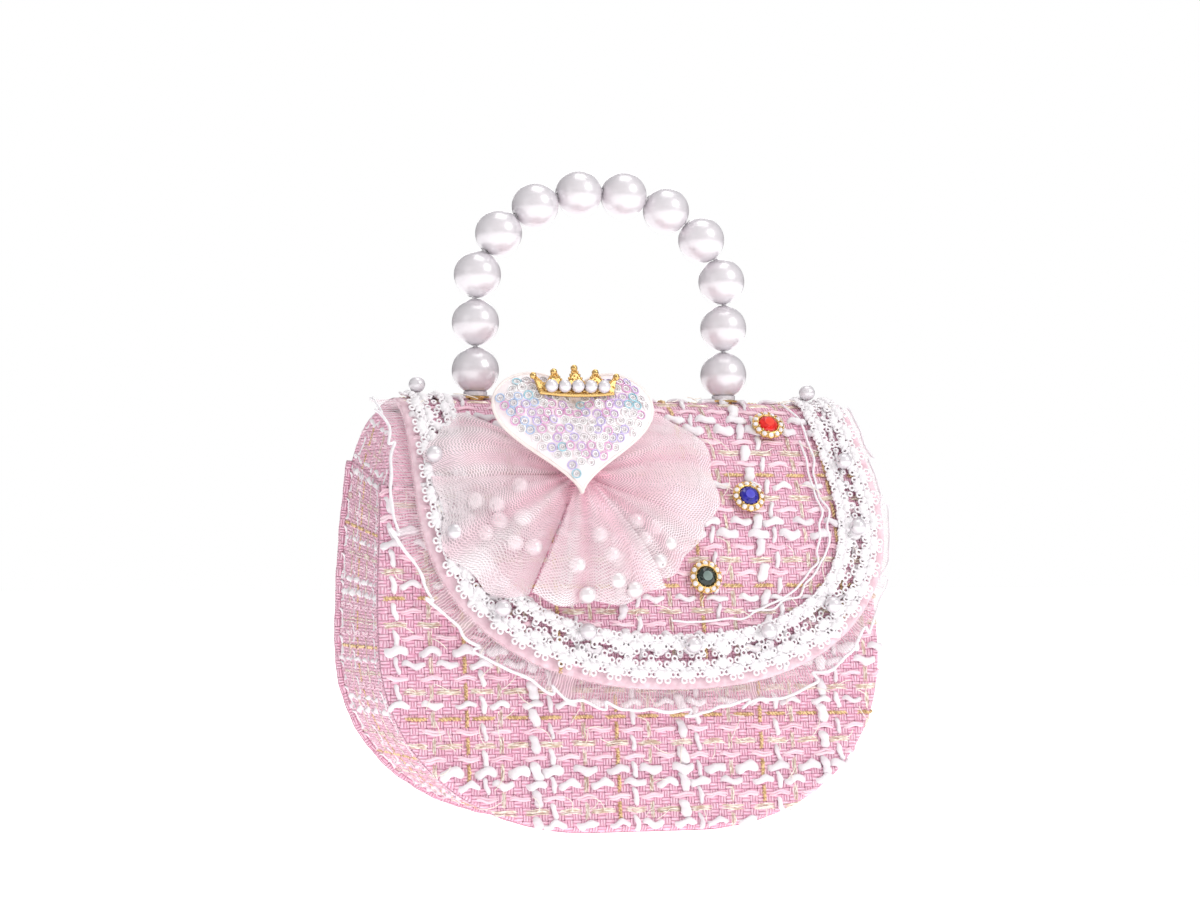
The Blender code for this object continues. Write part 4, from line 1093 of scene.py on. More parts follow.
def flap_edge(start_s):
    """Points (x, s) of the flap's edge in its flat pattern, evenly spaced, with inward directions."""
    sides = np.linspace(start_s, TURN_S, 60)[:-1]
    angle = np.linspace(-0.5 * math.pi, 0.5 * math.pi, 181)
    u = np.sign(angle) * np.abs(np.sin(angle)) ** (2.0 / FLAP_POWER)
    s = TURN_S + FLAP_ROUND * np.abs(np.cos(angle)) ** (2.0 / FLAP_POWER)
    left = np.stack([flap_centre(sides) - flap_half(sides), sides], axis=1)
    curve = np.stack([flap_centre(s) + u * flap_half(s), s], axis=1)
    right = np.stack([flap_centre(sides) + flap_half(sides), sides], axis=1)[::-1]
    path = np.vstack([left, curve, right])
    run = running(path)
    even = np.linspace(0.0, run[-1], 900)
    path = np.stack([np.interp(even, run, path[:, 0]), np.interp(even, run, path[:, 1])], axis=1)
    ahead = np.gradient(path, axis=0)
    inward = np.stack([ahead[:, 1], -ahead[:, 0]], axis=1)
    inward /= np.linalg.norm(inward, axis=1)[:, None]
    # The directions are smoothed over 25 points, so that nothing set by them kinks.
    kernel = np.ones(25) / 25
    for axis in range(2):
        padded = np.pad(inward[:, axis], len(kernel) // 2, mode="edge")
        inward[:, axis] = np.convolve(padded, kernel, mode="valid")
    inward /= np.linalg.norm(inward, axis=1)[:, None]
    return path, inward, even


EDGE, EDGE_IN, EDGE_RUN = flap_edge(-2.0 * MM)
EDGE_LENGTH = EDGE_RUN[-1]


def at_edge(run, inset):
    """Pattern points (x, s) at a running length along the flap's edge and a distance inside it."""
    run, inset = np.broadcast_arrays(np.asarray(run, float), np.asarray(inset, float))
    x, s = (np.interp(run, EDGE_RUN, EDGE[:, k]) for k in range(2))
    in_x, in_s = (np.interp(run, EDGE_RUN, EDGE_IN[:, k]) for k in range(2))
    return x + inset * in_x, s + inset * in_s


class FlapSurface:
    """The flap's outer face over its pattern (x, s)."""

    def at(self, u, v, h):
        return on_flap(u, v, FLAP_OUTER + h)


# The flap's accents stay this far inside its side edges.
FLAP_MARGIN = 3.4 * MM
FLAP_SPAN = (-82.0 * MM, 92.0 * MM)


def build_flap():
    angle = 0.5 * math.pi * np.linspace(-1.0, 1.0, 129)
    u = np.sign(angle) * np.abs(np.sin(angle)) ** (2.0 / FLAP_POWER)
    end = TURN_S + FLAP_ROUND * np.cos(angle) ** (2.0 / FLAP_POWER)
    upper = np.linspace(HINGE_S, TURN_S, 60)
    lower = np.linspace(0.0, 1.0, 25)[1:]
    straight = np.repeat(upper[None], len(u), 0)
    s = np.concatenate([straight, TURN_S + (end - TURN_S)[:, None] * lower[None]], axis=1)
    x = flap_centre(s) + u[:, None] * flap_half(s)
    outer = on_flap(x, s, FLAP_OUTER)
    inner = on_flap(x, s, FLAP_OUTER - FLAP_SHELL_THICK)
    verts, quads = slab(outer, inner, turned=True)
    weave = np.stack([x, s, 0 * x], axis=-1).reshape(-1, 3)
    soup = Soup()
    soup.add(verts, quads, 0, closed=False, weave=np.concatenate([weave] * 2))
    top_s = float(section_s(FLAP_FRONT_Z))

    def keep(px, ps):
        if ps < HINGE_S + 1 * MM or ps > top_s - 4 * MM:
            return False
        reach = 1.0
        if ps > TURN_S:
            reach = (1.0 - ((ps - TURN_S) / FLAP_ROUND) ** FLAP_POWER) ** (1.0 / FLAP_POWER)
        return abs(px - float(flap_centre(ps))) < reach * float(flap_half(ps)) - FLAP_MARGIN

    weave_accents(soup, FlapSurface(), keep, (-6.0 * MM, 1.5 * MM), FLAP_SPAN, (HINGE_S, top_s), 80)
    piece = soup.piece("flap_cloth", TWEED, "flap")
    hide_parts("flap_shell")


HINGE_FOLD_THICK = 3.0 * MM
# The fold's outer face from the seam up: how far behind the back panel's face, and z, in mm.
HINGE_FOLD_SECTION = ((0.2, 111.8), (0.45, 113.4), (0.5, 115.0), (0.4, 116.6), (0.1, 118.2))


def build_hinge_fold():
    """The strip of tweed that is sewn into the back panel's top seam under the flap, built in one fixed
    shape.
    """
    half = FLAP_HINGE_HALF - 0.5 * MM
    section = np.array(HINGE_FOLD_SECTION) * MM
    knots = np.linspace(0.0, 1.0, len(section))
    part = np.linspace(0.0, 1.0, 14)
    behind, rise = (np.interp(part, knots, section[:, k]) for k in range(2))
    x, y = np.meshgrid(np.linspace(-half, half, 60), BACK_Y + behind, indexing="ij")
    outer = np.stack([x, y, np.broadcast_to(rise, x.shape)], axis=-1)
    verts, quads = slab(outer, outer - (0.0, HINGE_FOLD_THICK, 0.0), turned=True)
    soup = Soup()
    soup.add(verts, quads[:, ::-1], 0, closed=False, weave=upright_weave(verts))
    piece = soup.piece("flap_hinge_fold", (GROUND,), None)
    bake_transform(piece)


# ---------------------------------------------------------------- lace, ruffle and pearls

def spaced(period, shift=0.0):
    """Running lengths along the flap's edge, about one period apart."""
    count = int(EDGE_LENGTH / period)
    return (np.arange(count) + 0.5 + shift) * EDGE_LENGTH / count


def stamp(soup, form, runs, insets, lift, turns=0.0, scale=1.0):
    """Copies a small form onto the flap at running lengths along its edge, turned in the cloth's plane."""
    verts, quads, *caps = form
    count = len(runs)
    insets, lift, turns = (np.broadcast_to(value, (count,)) for value in (insets, lift, turns))
    local = verts * scale
    cos, sin = np.cos(turns)[:, None], np.sin(turns)[:, None]
    a = local[:, 0] * cos - local[:, 1] * sin
    b = local[:, 0] * sin + local[:, 1] * cos
    x0, s0 = at_edge(runs, insets)
    inward = np.stack([np.interp(runs, EDGE_RUN, EDGE_IN[:, k]) for k in range(2)], axis=1)
    tangent = np.stack([-inward[:, 1], inward[:, 0]], axis=1)
    x = x0[:, None] + a * tangent[:, :1] + b * inward[:, :1]
    s = s0[:, None] + a * tangent[:, 1:] + b * inward[:, 1:]
    points = on_flap(x, s, lift[:, None] + local[:, 2])
    caps = copies(caps[0], len(verts), count) if caps else None
    soup.add(points, copies(quads, len(verts), count), caps=caps)


LACE_LIFT = FLAP_OUTER + 1.3 * MM
# The angles that a row's lobes and rings fan out over, in degrees.
LOBE_SPREAD = 150.0
RING_SPREAD = 138.0


def lace_row(soup, period, base, sign, lobes, rings, shift=0.0, reach=1.0):
    """A row of plump satin fans, each ending in small ring picots. sign -1 points the fans outwards."""
    runs = spaced(period, shift)
    runs = runs[(runs > 0.0) & (runs < EDGE_LENGTH)]
    lobe = ball_form(8, 6)
    lobe_size = (1.18 * MM * reach, 1.5 * MM * reach, 1.1 * MM)
    picot = ring_form(0.80 * MM, 0.36 * MM, 12, 6)
    wobble = 0.6 * rng.uniform(-1.0, 1.0, (4, len(runs)))
    for k in range(lobes):
        fan = (k - 0.5 * (lobes - 1)) * math.radians(LOBE_SPREAD / lobes)
        along = runs + math.sin(fan) * 1.9 * MM * reach + 0.12 * MM * wobble[0]
        inset = base + sign * math.cos(fan) * 1.35 * MM * reach + 0.12 * MM * wobble[1]
        lift = LACE_LIFT + 0.3 * MM + 0.1 * MM * wobble[3]
        stamp(soup, lobe, along, inset, lift, -sign * fan + 0.12 * wobble[2], lobe_size)
    for k in range(rings):
        fan = (k - 0.5 * (rings - 1)) * math.radians(RING_SPREAD / max(rings - 1, 1))
        along = runs + math.sin(fan) * 3.4 * MM * reach + 0.1 * MM * wobble[k % 4]
        inset = base + sign * math.cos(fan) * 3.2 * MM * reach
        stamp(soup, picot, along, inset, LACE_LIFT + 0.45 * MM)


def build_lace():
    """The braid: four rows of fans, two lines of knots and a chain of rings between them."""
    soup = Soup()
    lace_row(soup, 8.1 * MM, 4.5 * MM, -1.0, 4, 4)
    lace_row(soup, 8.1 * MM, 5.6 * MM, 1.0, 4, 3, 0.5, 0.86)
    lace_row(soup, 7.4 * MM, 13.0 * MM, -1.0, 4, 3, 0.25, 0.86)
    lace_row(soup, 7.4 * MM, 13.6 * MM, 1.0, 4, 2, 0.75, 0.84)
    for inset, period in ((5.05 * MM, 2.3 * MM), (13.3 * MM, 2.2 * MM)):
        runs = spaced(period)
        insets = inset + 0.2 * MM * np.sin(1.9 * np.arange(len(runs)))
        stamp(soup, ball_form(8, 5), runs, insets, LACE_LIFT, 1.2, (0.85 * MM, 1.35 * MM, 0.8 * MM))
    stamp(soup, ring_form(0.70 * MM, 0.33 * MM, 10, 6), spaced(4.05 * MM), 9.4 * MM, LACE_LIFT)
    piece = soup.piece("guipure_lace", (SATIN_WHITE,), "flap")
    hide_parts("lace_braid")


# The turned edge's cross-section: how far inside the edge, and the height above the flap's inner face.
HEM_WRAP = np.array([
    (3.0, 3.2), (1.0, 3.25), (0.0, 3.2), (-0.6, 3.0), (-0.85, 2.4), (-0.9, 1.5), (-0.8, 0.7), (-0.4, 0.05),
    (0.4, -0.2), (2.4, -0.25),
]).T * MM


def hem_band(soup, along, rows, across, slot):
    """One turned band as a sheet. along and across: its weave's running lengths."""
    weave = np.zeros((len(along), len(across), 3))
    weave[:, :, 0] = along[:, None]
    weave[:, :, 1] = across[None]
    soup.add(np.stack(rows, axis=1), grid_quads(len(along), len(across)), slot, closed=False, weave=weave)


def build_hem():
    """The flap's turned edge: a sheer band outside the lace, and bare tweed at the sides behind the crest."""
    soup = Soup()
    runs = np.linspace(0.0, EDGE_LENGTH, 420)
    insets, lifts = HEM_WRAP
    rows = [on_flap(*at_edge(runs, inset), lift) for inset, lift in zip(insets, lifts)]
    hem_band(soup, runs, rows, insets, 0)
    s = np.linspace(HINGE_S, -1.5 * MM, 40)
    for sign in (-1.0, 1.0):
        rows = []
        for inset, lift in zip(insets, lifts):
            x = flap_centre(s) + sign * (flap_half(s) - inset)
            rows.append(on_flap(x, s, lift + 0.15 * MM * (lift > 0.0)))
        hem_band(soup, s, rows, np.linspace(0.0, 9.0 * MM, len(insets)), 1)
    piece = soup.piece("flap_hem", (HEM, GROUND), "flap")


def smooth_noise(length, step, seed, amplitude):
    """A repeatable wander: random values every step, joined smoothly."""
    local = np.random.RandomState(seed)
    knots = local.uniform(-1.0, 1.0, int(length / step) + 4)

    def value(run):
        place = np.asarray(run) / step
        start = np.clip(np.floor(place).astype(int), 0, len(knots) - 2)
        part = 0.5 - 0.5 * np.cos(math.pi * (place - start))
        return amplitude * (knots[start] * (1.0 - part) + knots[start + 1] * part)

    return value


def ruffle_reach(run):
    """How far the ruffle stands out past the flap's edge, narrower at the right where it turns under."""
    part = np.asarray(run) / EDGE_LENGTH
    fade = np.clip((part - 0.66) / 0.12, 0.0, 1.0)
    slow = smooth_noise(EDGE_LENGTH, 11 * MM, 3, 1.5 * MM)(run)
    quick = smooth_noise(EDGE_LENGTH, 4.2 * MM, 8, 0.8 * MM)(run)
    return (7.6 * MM + slow + quick) * (1.0 - fade) + (2.6 * MM + 0.4 * quick) * fade


# The ruffle starts this far inside the flap's edge.
RUFFLE_ROOT = 4.0 * MM


def build_ruffle():
    """The pleated strip of organza that stands out from under the lace."""
    runs = np.linspace(0.5 * MM, EDGE_LENGTH - 0.5 * MM, 1100)
    across = np.linspace(0.0, 1.0, 9)
    reach = ruffle_reach(runs)
    fold = smooth_noise(EDGE_LENGTH, 5.0 * MM, 21, 1.0)(runs)
    pleat = np.sin(runs / (0.62 * MM) + 3.0 * fold)
    points = []
    tones = []
    for part in across:
        inset = RUFFLE_ROOT - (reach + RUFFLE_ROOT) * part
        lift = FLAP_OUTER - 0.55 * MM + 0.5 * MM * part * pleat + 0.5 * MM * part * fold
        x, s = at_edge(runs, inset)
        points.append(on_flap(x, s, lift))
        tones.append(np.clip(1.4 * fold - 0.7, 0.0, 0.8) * np.sqrt(part))
    weave = np.zeros((len(runs), len(across), 3))
    weave[:, :, 0] = runs[:, None]
    weave[:, :, 1] = (across * 11.0 * MM)[None]
    soup = Soup()
    soup.add(np.stack(points, axis=1), grid_quads(len(runs), len(across)), 0, closed=False,
             tone=np.stack(tones, axis=1), weave=weave)
    ruffle = soup.piece("organza_ruffle", (ORGANZA,), "flap")
    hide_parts("ruffle")


def build_edge_cord():
    """The corded edge of the ruffle, with its kinks, and the inner selvedge at the right."""
    soup = Soup()
    fine = np.linspace(0.5 * MM, EDGE_LENGTH - 0.5 * MM, 2200)
    kink = np.zeros(len(fine))
    slide = np.zeros(len(fine))
    local = np.random.RandomState(77)
    for centre in np.arange(9 * MM, EDGE_LENGTH, 21 * MM):
        centre += local.uniform(-5, 5) * MM
        away = (fine - centre) / (2.6 * MM)
        bell = np.exp(-away * away)
        kink += local.choice((-1.0, 1.0)) * 2.7 * MM * bell * (away + 0.3)
        slide += -local.uniform(1.4, 2.6) * (fine - centre) * bell
    x, s = at_edge(np.clip(fine + slide, 0.0, EDGE_LENGTH), -ruffle_reach(fine) + kink)
    lift = FLAP_OUTER - 0.2 * MM + smooth_noise(EDGE_LENGTH, 6 * MM, 5, 0.4 * MM)(fine)
    width = 0.5 * MM * (1.0 + 0.2 * smooth_noise(EDGE_LENGTH, 2.5 * MM, 6, 1.0)(fine))
    verts, quads, caps = tube_along(on_flap(x, s, lift), width, 7)
    soup.add(verts, quads, 0, caps=caps)
    # The inner selvedge shows inside the lace along the right half.
    for start, stop, inset in ((0.50, 0.985, 19.2), (0.60, 0.93, 21.0)):
        fine = np.linspace(start * EDGE_LENGTH, stop * EDGE_LENGTH, 420)
        wander = smooth_noise(EDGE_LENGTH, 7 * MM, int(inset), 1.4 * MM)(fine)
        x, s = at_edge(fine, inset * MM + wander)
        lift = FLAP_OUTER + 1.3 * MM + smooth_noise(EDGE_LENGTH, 5 * MM, 4, 0.3 * MM)(fine)
        verts, quads, caps = tube_along(on_flap(x, s, lift), 0.38 * MM, 7)
        soup.add(verts, quads, 0, caps=caps)
    cord = soup.piece("ruffle_edge_cord", (CORD_WHITE,), "flap")


def pearl_form(radius, bore, around=24, rings=14):
    """A bead as a turned solid with a through hole."""
    start = math.asin(bore / radius)
    angles = [start + (math.pi - 2.0 * start) * k / rings for k in range(rings + 1)]
    return lathe([(radius * math.sin(a), radius * math.cos(a)) for a in angles], around)


def build_lace_pearls():
    for k in range(1, 12):
        node = "lace_pearl_%02d" % k
        low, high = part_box(node)
        centre = (low + high) / 2
        verts, quads = pearl_form(0.5 * (high.z - low.z), 0.45 * MM)
        turn = Matrix.Rotation(0.5 * math.pi, 4, "Y") @ Matrix.Rotation(dice.uniform(-0.6, 0.6), 4, "X")
        soup = Soup()
        soup.add(moved(verts, Matrix.Translation(centre) @ turn), quads)
        piece = soup.piece("sewn_pearl_%02d" % k, (PEARL,), "flap")
        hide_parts(node)


# ---------------------------------------------------------------- tulle bow

GATHER_X, GATHER_Z = -17.0 * MM, 106.0 * MM
BOW_LIFT = FLAP_OUTER + 1.8 * MM


def puff_loop(name, start, stop, reach, lift, height, pleats, seed, node, crisp=0.0):
    """A gathered loop of tulle: out along the flap, round a soft fold and back over the top.

    start and stop are directions in the flap's pattern in degrees, 0 to +X and 90 down the flap.
    reach is a list of distances in mm, spread evenly from start to stop; lift and height are in mm too.
    crisp is the least share of the height that is left at the loop's two ends.
    """
    local = np.random.RandomState(seed)
    turns = 150
    around = 34
    part = np.linspace(0.0, 1.0, turns)
    loop = np.linspace(0.0, 1.0, around)
    phases = local.uniform(0.0, 2.0 * math.pi, 4)
    angle = np.radians(start + (stop - start) * part)
    length = np.interp(part, np.linspace(0.0, 1.0, len(reach)), reach) * MM
    kernel = np.ones(9) / 9
    length = np.convolve(np.pad(length, 4, mode="edge"), kernel, mode="valid")
    length = length * (1.0 + 0.03 * np.sin(2.0 * math.pi * pleats * part + phases[0]))
    gather_s = float(section_s(GATHER_Z))
    out = np.sin(math.pi * loop)
    out = np.where(out > 0.999, 1.0, out) ** 0.85
    top = loop > 0.5
    rib = (0.6 * np.sin(2.0 * math.pi * pleats * part + phases[1])
           + 0.4 * np.sin(2.0 * math.pi * (1.7 * pleats) * part + phases[2]))
    fade = np.maximum(np.sin(math.pi * part) ** 0.55, crisp)
    rows_u, rows_s, rows_h, tone, ran = [], [], [], [], []
    for k in range(around):
        rho = out[k]
        r = length * rho + 1.5 * MM
        dome = math.sin(math.pi * min(1.0, rho) ** 1.4) if rho < 1.0 else 0.0
        arch = height * MM * (0.35 + 0.65 * dome) if top[k] else 0.25 * MM * (1.0 - rho)
        if top[k]:
            arch = arch * (1.0 - rho ** 9)
        crease = 1.15 * MM * rib * (0.25 + 0.75 * rho) * (1.0 - 0.6 * rho ** 6) * (1.0 if top[k] else 0.25)
        h = lift * MM + BOW_LIFT + arch * fade + crease * (0.4 + 0.6 * fade)
        rows_u.append(GATHER_X + r * np.cos(angle))
        rows_s.append(gather_s + r * np.sin(angle))
        rows_h.append(np.maximum(h, FLAP_OUTER + 1.3 * MM))
        # The tone deepens towards the gather, and the pleats' folds are darker and their ridges lighter:
        # painted shade and highlight.
        tone.append(np.clip(0.1 + 0.8 * rho ** 0.7 + 0.3 * rib, 0.0, 1.0))
        ran.append(length * (rho if not top[k] else 2.0 - rho))
    x, s, h = (np.array(t) for t in (rows_u, rows_s, rows_h))
    weave = np.stack([36.0 * MM * angle + 0 * x, np.array(ran), 0 * x], axis=-1)
    soup = Soup()
    soup.add(on_flap(x, s, h), grid_quads(around, turns), 0, closed=False, tone=np.array(tone), weave=weave)
    piece = soup.piece(name, (TULLE,), "flap")
    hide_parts(node)


def build_bow():
    puff_loop("bow_loop_upper_left", 172, 216, [43, 47, 45, 38], 0.2, 9.5, 2.2, 31, "bow_left")
    puff_loop("bow_loop_lower_left", 118, 180, [41, 47, 49, 46, 44], 1.0, 10.0, 2.4, 32, "bow_left")
    puff_loop("bow_loop_right", -44, 28, [36, 42, 45, 44, 40], 0.3, 9.5, 2.6, 33, "bow_right")
    puff_loop("bow_loop_lower_right", 20, 62, [40, 41, 39, 37], 0.8, 6.5, 1.8, 34, "bow_right")
    puff_loop("bow_tail_fan", 56, 118, [41, 40, 39, 39, 40, 41], 3.6, 6.0, 2.3, 35, "bow_tail", 0.85)


def build_gather():
    """The folds where the bow's tulle is drawn together."""
    soup = Soup()
    gather_s = float(section_s(GATHER_Z))
    run = np.linspace(0.0, 1.0, 14)
    reach = (1.0 + 10.5 * run) * MM
    lift = BOW_LIFT + 2.2 * MM + 1.6 * MM * np.sin(math.pi * run)
    width = (1.5 * MM + 0.9 * MM * run) * (1 - 0.6 * run ** 4)
    for k in range(7):
        angle = math.radians(-35 + 40 * k)
        line = on_flap(GATHER_X + reach * math.cos(angle), gather_s + reach * math.sin(angle), lift)
        verts, quads, caps = tube_along(line, width, 10, 0.6)
        tone = np.full(len(verts), 0.12)
        soup.add(verts, quads, 0, caps=caps, tone=tone, weave=upright_weave(verts))
    knot = soup.piece("bow_gather_folds", (TULLE,), "flap")
    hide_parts("bow_gather")


# Loose pearls inside the bow's pockets: x, height up the bag, and how high they sit, in mm.
BOW_PEARLS = (
    (-37.2, 101.8, 4.2), (-44.9, 92.3, 3.6), (-45.2, 96.6, 4.0), (-40.7, 85.8, 4.0), (-35.0, 84.6, 4.2),
    (-49.5, 89.0, 3.2), (-51.5, 98.0, 3.0), (-38.0, 92.5, 5.6),
    (-0.9, 92.2, 3.8), (5.0, 90.3, 3.4), (1.3, 86.8, 4.2), (5.4, 80.4, 3.6), (9.5, 86.0, 3.0),
    (-14.3, 87.4, 6.6), (-10.8, 81.7, 6.6), (-9.5, 74.7, 6.4), (-19.4, 70.3, 6.2), (-22.0, 79.0, 6.0),
    (-4.0, 72.0, 5.8),
)


POCKET_LIFT = FLAP_OUTER + 1.7 * MM


def build_bow_pearls():
    soup = Soup()
    for x, z, lift in BOW_PEARLS:
        radius = dice.uniform(2.6, 2.9) * MM
        verts, quads = pearl_form(radius, 0.4 * MM, 20, 12)
        centre = on_flap(x * MM, float(section_s(z * MM)), POCKET_LIFT + lift * MM)
        turn = Matrix.Rotation(dice.uniform(0, 3), 4, "X") @ Matrix.Rotation(dice.uniform(0, 3), 4, "Y")
        soup.add(moved(verts, Matrix.Translation(Vector(centre)) @ turn), quads)
    piece = soup.piece("bow_loose_pearls", (PEARL_SOFT,), "flap")


# ---------------------------------------------------------------- heart pad and crown

HEART_TILT = math.radians(19.0)
HEART_CENTRE = Vector((-19.0, -17.2, 122.3)) * MM
HEART_HALF_WIDTH = 27.0 * MM
HEART_HALF_HEIGHT = 20.5 * MM
HEART_THICK = 7.0 * MM
# The outline's scale, which leaves room for the piping, and how fast the dome rises from its seam.
HEART_TRIM = 0.96
SEAM_FALL = 3.4 * MM
PIPING_R = 0.62 * MM


def heart_matrix():
    """The pad's place: its face leans back with the flap."""
    lean = Matrix.Rotation(0.5 * math.pi - HEART_TILT, 4, "X")
    return Matrix.Translation(HEART_CENTRE) @ lean


def heart_outline(count):
    """The classic heart curve, fitted to the pad's size and a little smoothed."""
    turns = np.linspace(0.0, 2.0 * math.pi, count, endpoint=False)
    rises = 13 * np.cos(turns) - 5 * np.cos(2 * turns) - 2 * np.cos(3 * turns) - np.cos(4 * turns)
    middle = 0.5 * (rises.max() + rises.min())
    reach = 0.5 * (rises.max() - rises.min())
    x = np.sin(turns) ** 3 * HEART_HALF_WIDTH
    y = (rises - middle) / reach * HEART_HALF_HEIGHT
    points = np.stack([x, y], axis=1)
    for smoothing in range(3):
        points = (np.roll(points, 1, axis=0) + 2 * points + np.roll(points, -1, axis=0)) / 4
    return points * HEART_TRIM


def heart_height(x, y, rim):
    """Height of the pad's face: a full dome that falls to the seam."""
    away = np.linalg.norm(np.stack([x, y], axis=-1)[..., None, :] - rim, axis=-1).min(axis=-1)
    return 0.52 * HEART_THICK * (1.0 - np.exp(-away / SEAM_FALL))


def build_heart():
    rim = heart_outline(140)
    place = heart_matrix()
    soup = Soup()
    shrink = np.array([1.0, 0.985, 0.96, 0.92, 0.86, 0.78, 0.68, 0.56, 0.42, 0.26, 0.1])
    for side in (1.0, -1.0):
        rings = []
        for factor in shrink:
            x, y = rim[:, 0] * factor, rim[:, 1] * factor + (1 - factor) * 2.0 * MM
            z = side * heart_height(x, y, rim) * (1.0 if side > 0 else 0.8)
            rings.append(np.stack([x, y, z], axis=1))
        verts = np.concatenate(rings)
        caps = np.array([range(len(rim) * (len(shrink) - 1), len(rim) * len(shrink))])
        quads = grid_quads(len(shrink), len(rim), True)
        if side > 0:
            quads, caps = quads[:, ::-1], caps[:, ::-1]
        soup.add(moved(verts, place), quads, 0, closed=False, caps=caps)
    ring = np.vstack([rim, rim[:3]])
    line = np.stack([ring[:, 0], ring[:, 1], 0 * ring[:, 0]], axis=1)
    verts, quads, caps = tube_along(line, PIPING_R, 8)
    soup.add(moved(verts, place), quads, 1, caps=caps)
    pad = soup.piece("heart_cloth_pad", (SEQUIN_CLOTH, SATIN_CREAM), "flap")
    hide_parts("heart_pad")
    build_sequins(rim, place)


SEQUIN_PITCH = 3.05 * MM
SEQUIN_MARGIN = 1.5 * MM
# The first of the bluish and of the pale tints in SEQUIN_TINTS, and the slot of the cups' middles.
BLUISH, PALE, DISC_SLOT = 3, 5, 7


def point_inside(x, y, rim):
    """Whether a point lies inside a closed outline, by counting the edges to its right."""
    after = np.roll(rim, -1, axis=0)
    crosses = (rim[:, 1] > y) != (after[:, 1] > y)
    with np.errstate(divide="ignore", invalid="ignore"):
        at = rim[:, 0] + (y - rim[:, 1]) / (after[:, 1] - rim[:, 1]) * (after[:, 0] - rim[:, 0])
    return bool((crosses & (x < at)).sum() % 2)


def sequin_spots(rim, local):
    """Places in offset rows, a little disturbed, that lie inside the pad's seam."""
    spots = []
    for row in range(-9, 10):
        for column in range(-12, 13):
            x = (column + 0.5 * (row % 2)) * SEQUIN_PITCH + local.uniform(-0.45, 0.45) * MM
            y = row * SEQUIN_PITCH * 0.9 + local.uniform(-0.45, 0.45) * MM
            near = np.linalg.norm(rim - (x, y), axis=1).min()
            if point_inside(x, y, rim) and near > SEQUIN_MARGIN:
                spots.append((x, y))
    return spots


def sequin_tint(x, y, local):
    """Pale tints gather low on the pad, bluish ones at its left, pink and violet ones elsewhere."""
    high = (y / HEART_HALF_HEIGHT + 1.0) / 2.0
    if local.uniform() < 0.16 + 0.5 * (1 - high):
        return PALE + int(local.uniform() < 0.4)
    if x < -13 * MM and local.uniform() < 0.6:
        return BLUISH + int(local.uniform() < 0.5)
    return int(local.uniform() * 3.3)


def build_sequins(rim, place):
    """Small cup sequins sewn close together over the pad's face, each a disc with a bright rim."""
    soup = Soup()
    local = np.random.RandomState(9)
    hoop, hoop_quads = ring_form(1.36 * MM, 0.2 * MM, 18, 6)
    disc, disc_quads = ring_form(0.80 * MM, 0.52 * MM, 18, 4)
    disc = disc * (1.0, 1.0, 0.12)
    step = 0.4 * MM

    def height(x, y):
        return float(heart_height(np.array(x), np.array(y), rim))

    for x, y in sequin_spots(rim, local):
        z = height(x, y)
        dx = (height(x + step, y) - z) / step
        dy = (height(x, y + step) - z) / step
        tilt = Vector((-dx + local.uniform(-0.22, 0.22), -dy + local.uniform(-0.22, 0.22), 1.0))
        turn = Vector((0, 0, 1)).rotation_difference(tilt.normalized()).to_matrix().to_4x4()
        seat = place @ Matrix.Translation((x, y, z + 0.30 * MM)) @ turn
        soup.add(moved(hoop, seat), hoop_quads, sequin_tint(x, y, local))
        soup.add(moved(disc, seat @ Matrix.Translation((0, 0, -0.1 * MM))), disc_quads, DISC_SLOT)
    piece = soup.piece("heart_sequins", SEQUIN_TINTS + (SEQUIN_DISC,), "flap")


CROWN_WIDTH = 27.0 * MM
CROWN_HALF = 0.5 * CROWN_WIDTH
CROWN_HEIGHT = 9.0 * MM
CROWN_VALLEY = 0.44 * CROWN_HEIGHT
CROWN_PEARL_R = 2.05 * MM
CROWN_PEARL_PITCH = 4.25 * MM


def crown_matrix():
    """The crown's place, on the upper half of the pad."""
    rise = Matrix.Translation((0.0, 0.50 * HEART_HALF_HEIGHT, 0.5 * HEART_THICK + 0.9 * MM))
    return heart_matrix() @ rise


def crown_top(x):
    """Height of the crown's pointed rim at a place across it: five points, the middle one tallest."""
    tall = CROWN_HEIGHT * (1.0 - 0.30 * np.abs(x) / CROWN_HALF)
    wave = np.abs(np.cos(x / CROWN_HALF * 2.0 * math.pi))
    return CROWN_VALLEY + (tall - CROWN_VALLEY) * wave ** 1.6


def crown_base(x):
    """Height of the crown's lower edge, which curves up at the ends."""
    return 0.9 * MM * (x / CROWN_HALF) ** 2


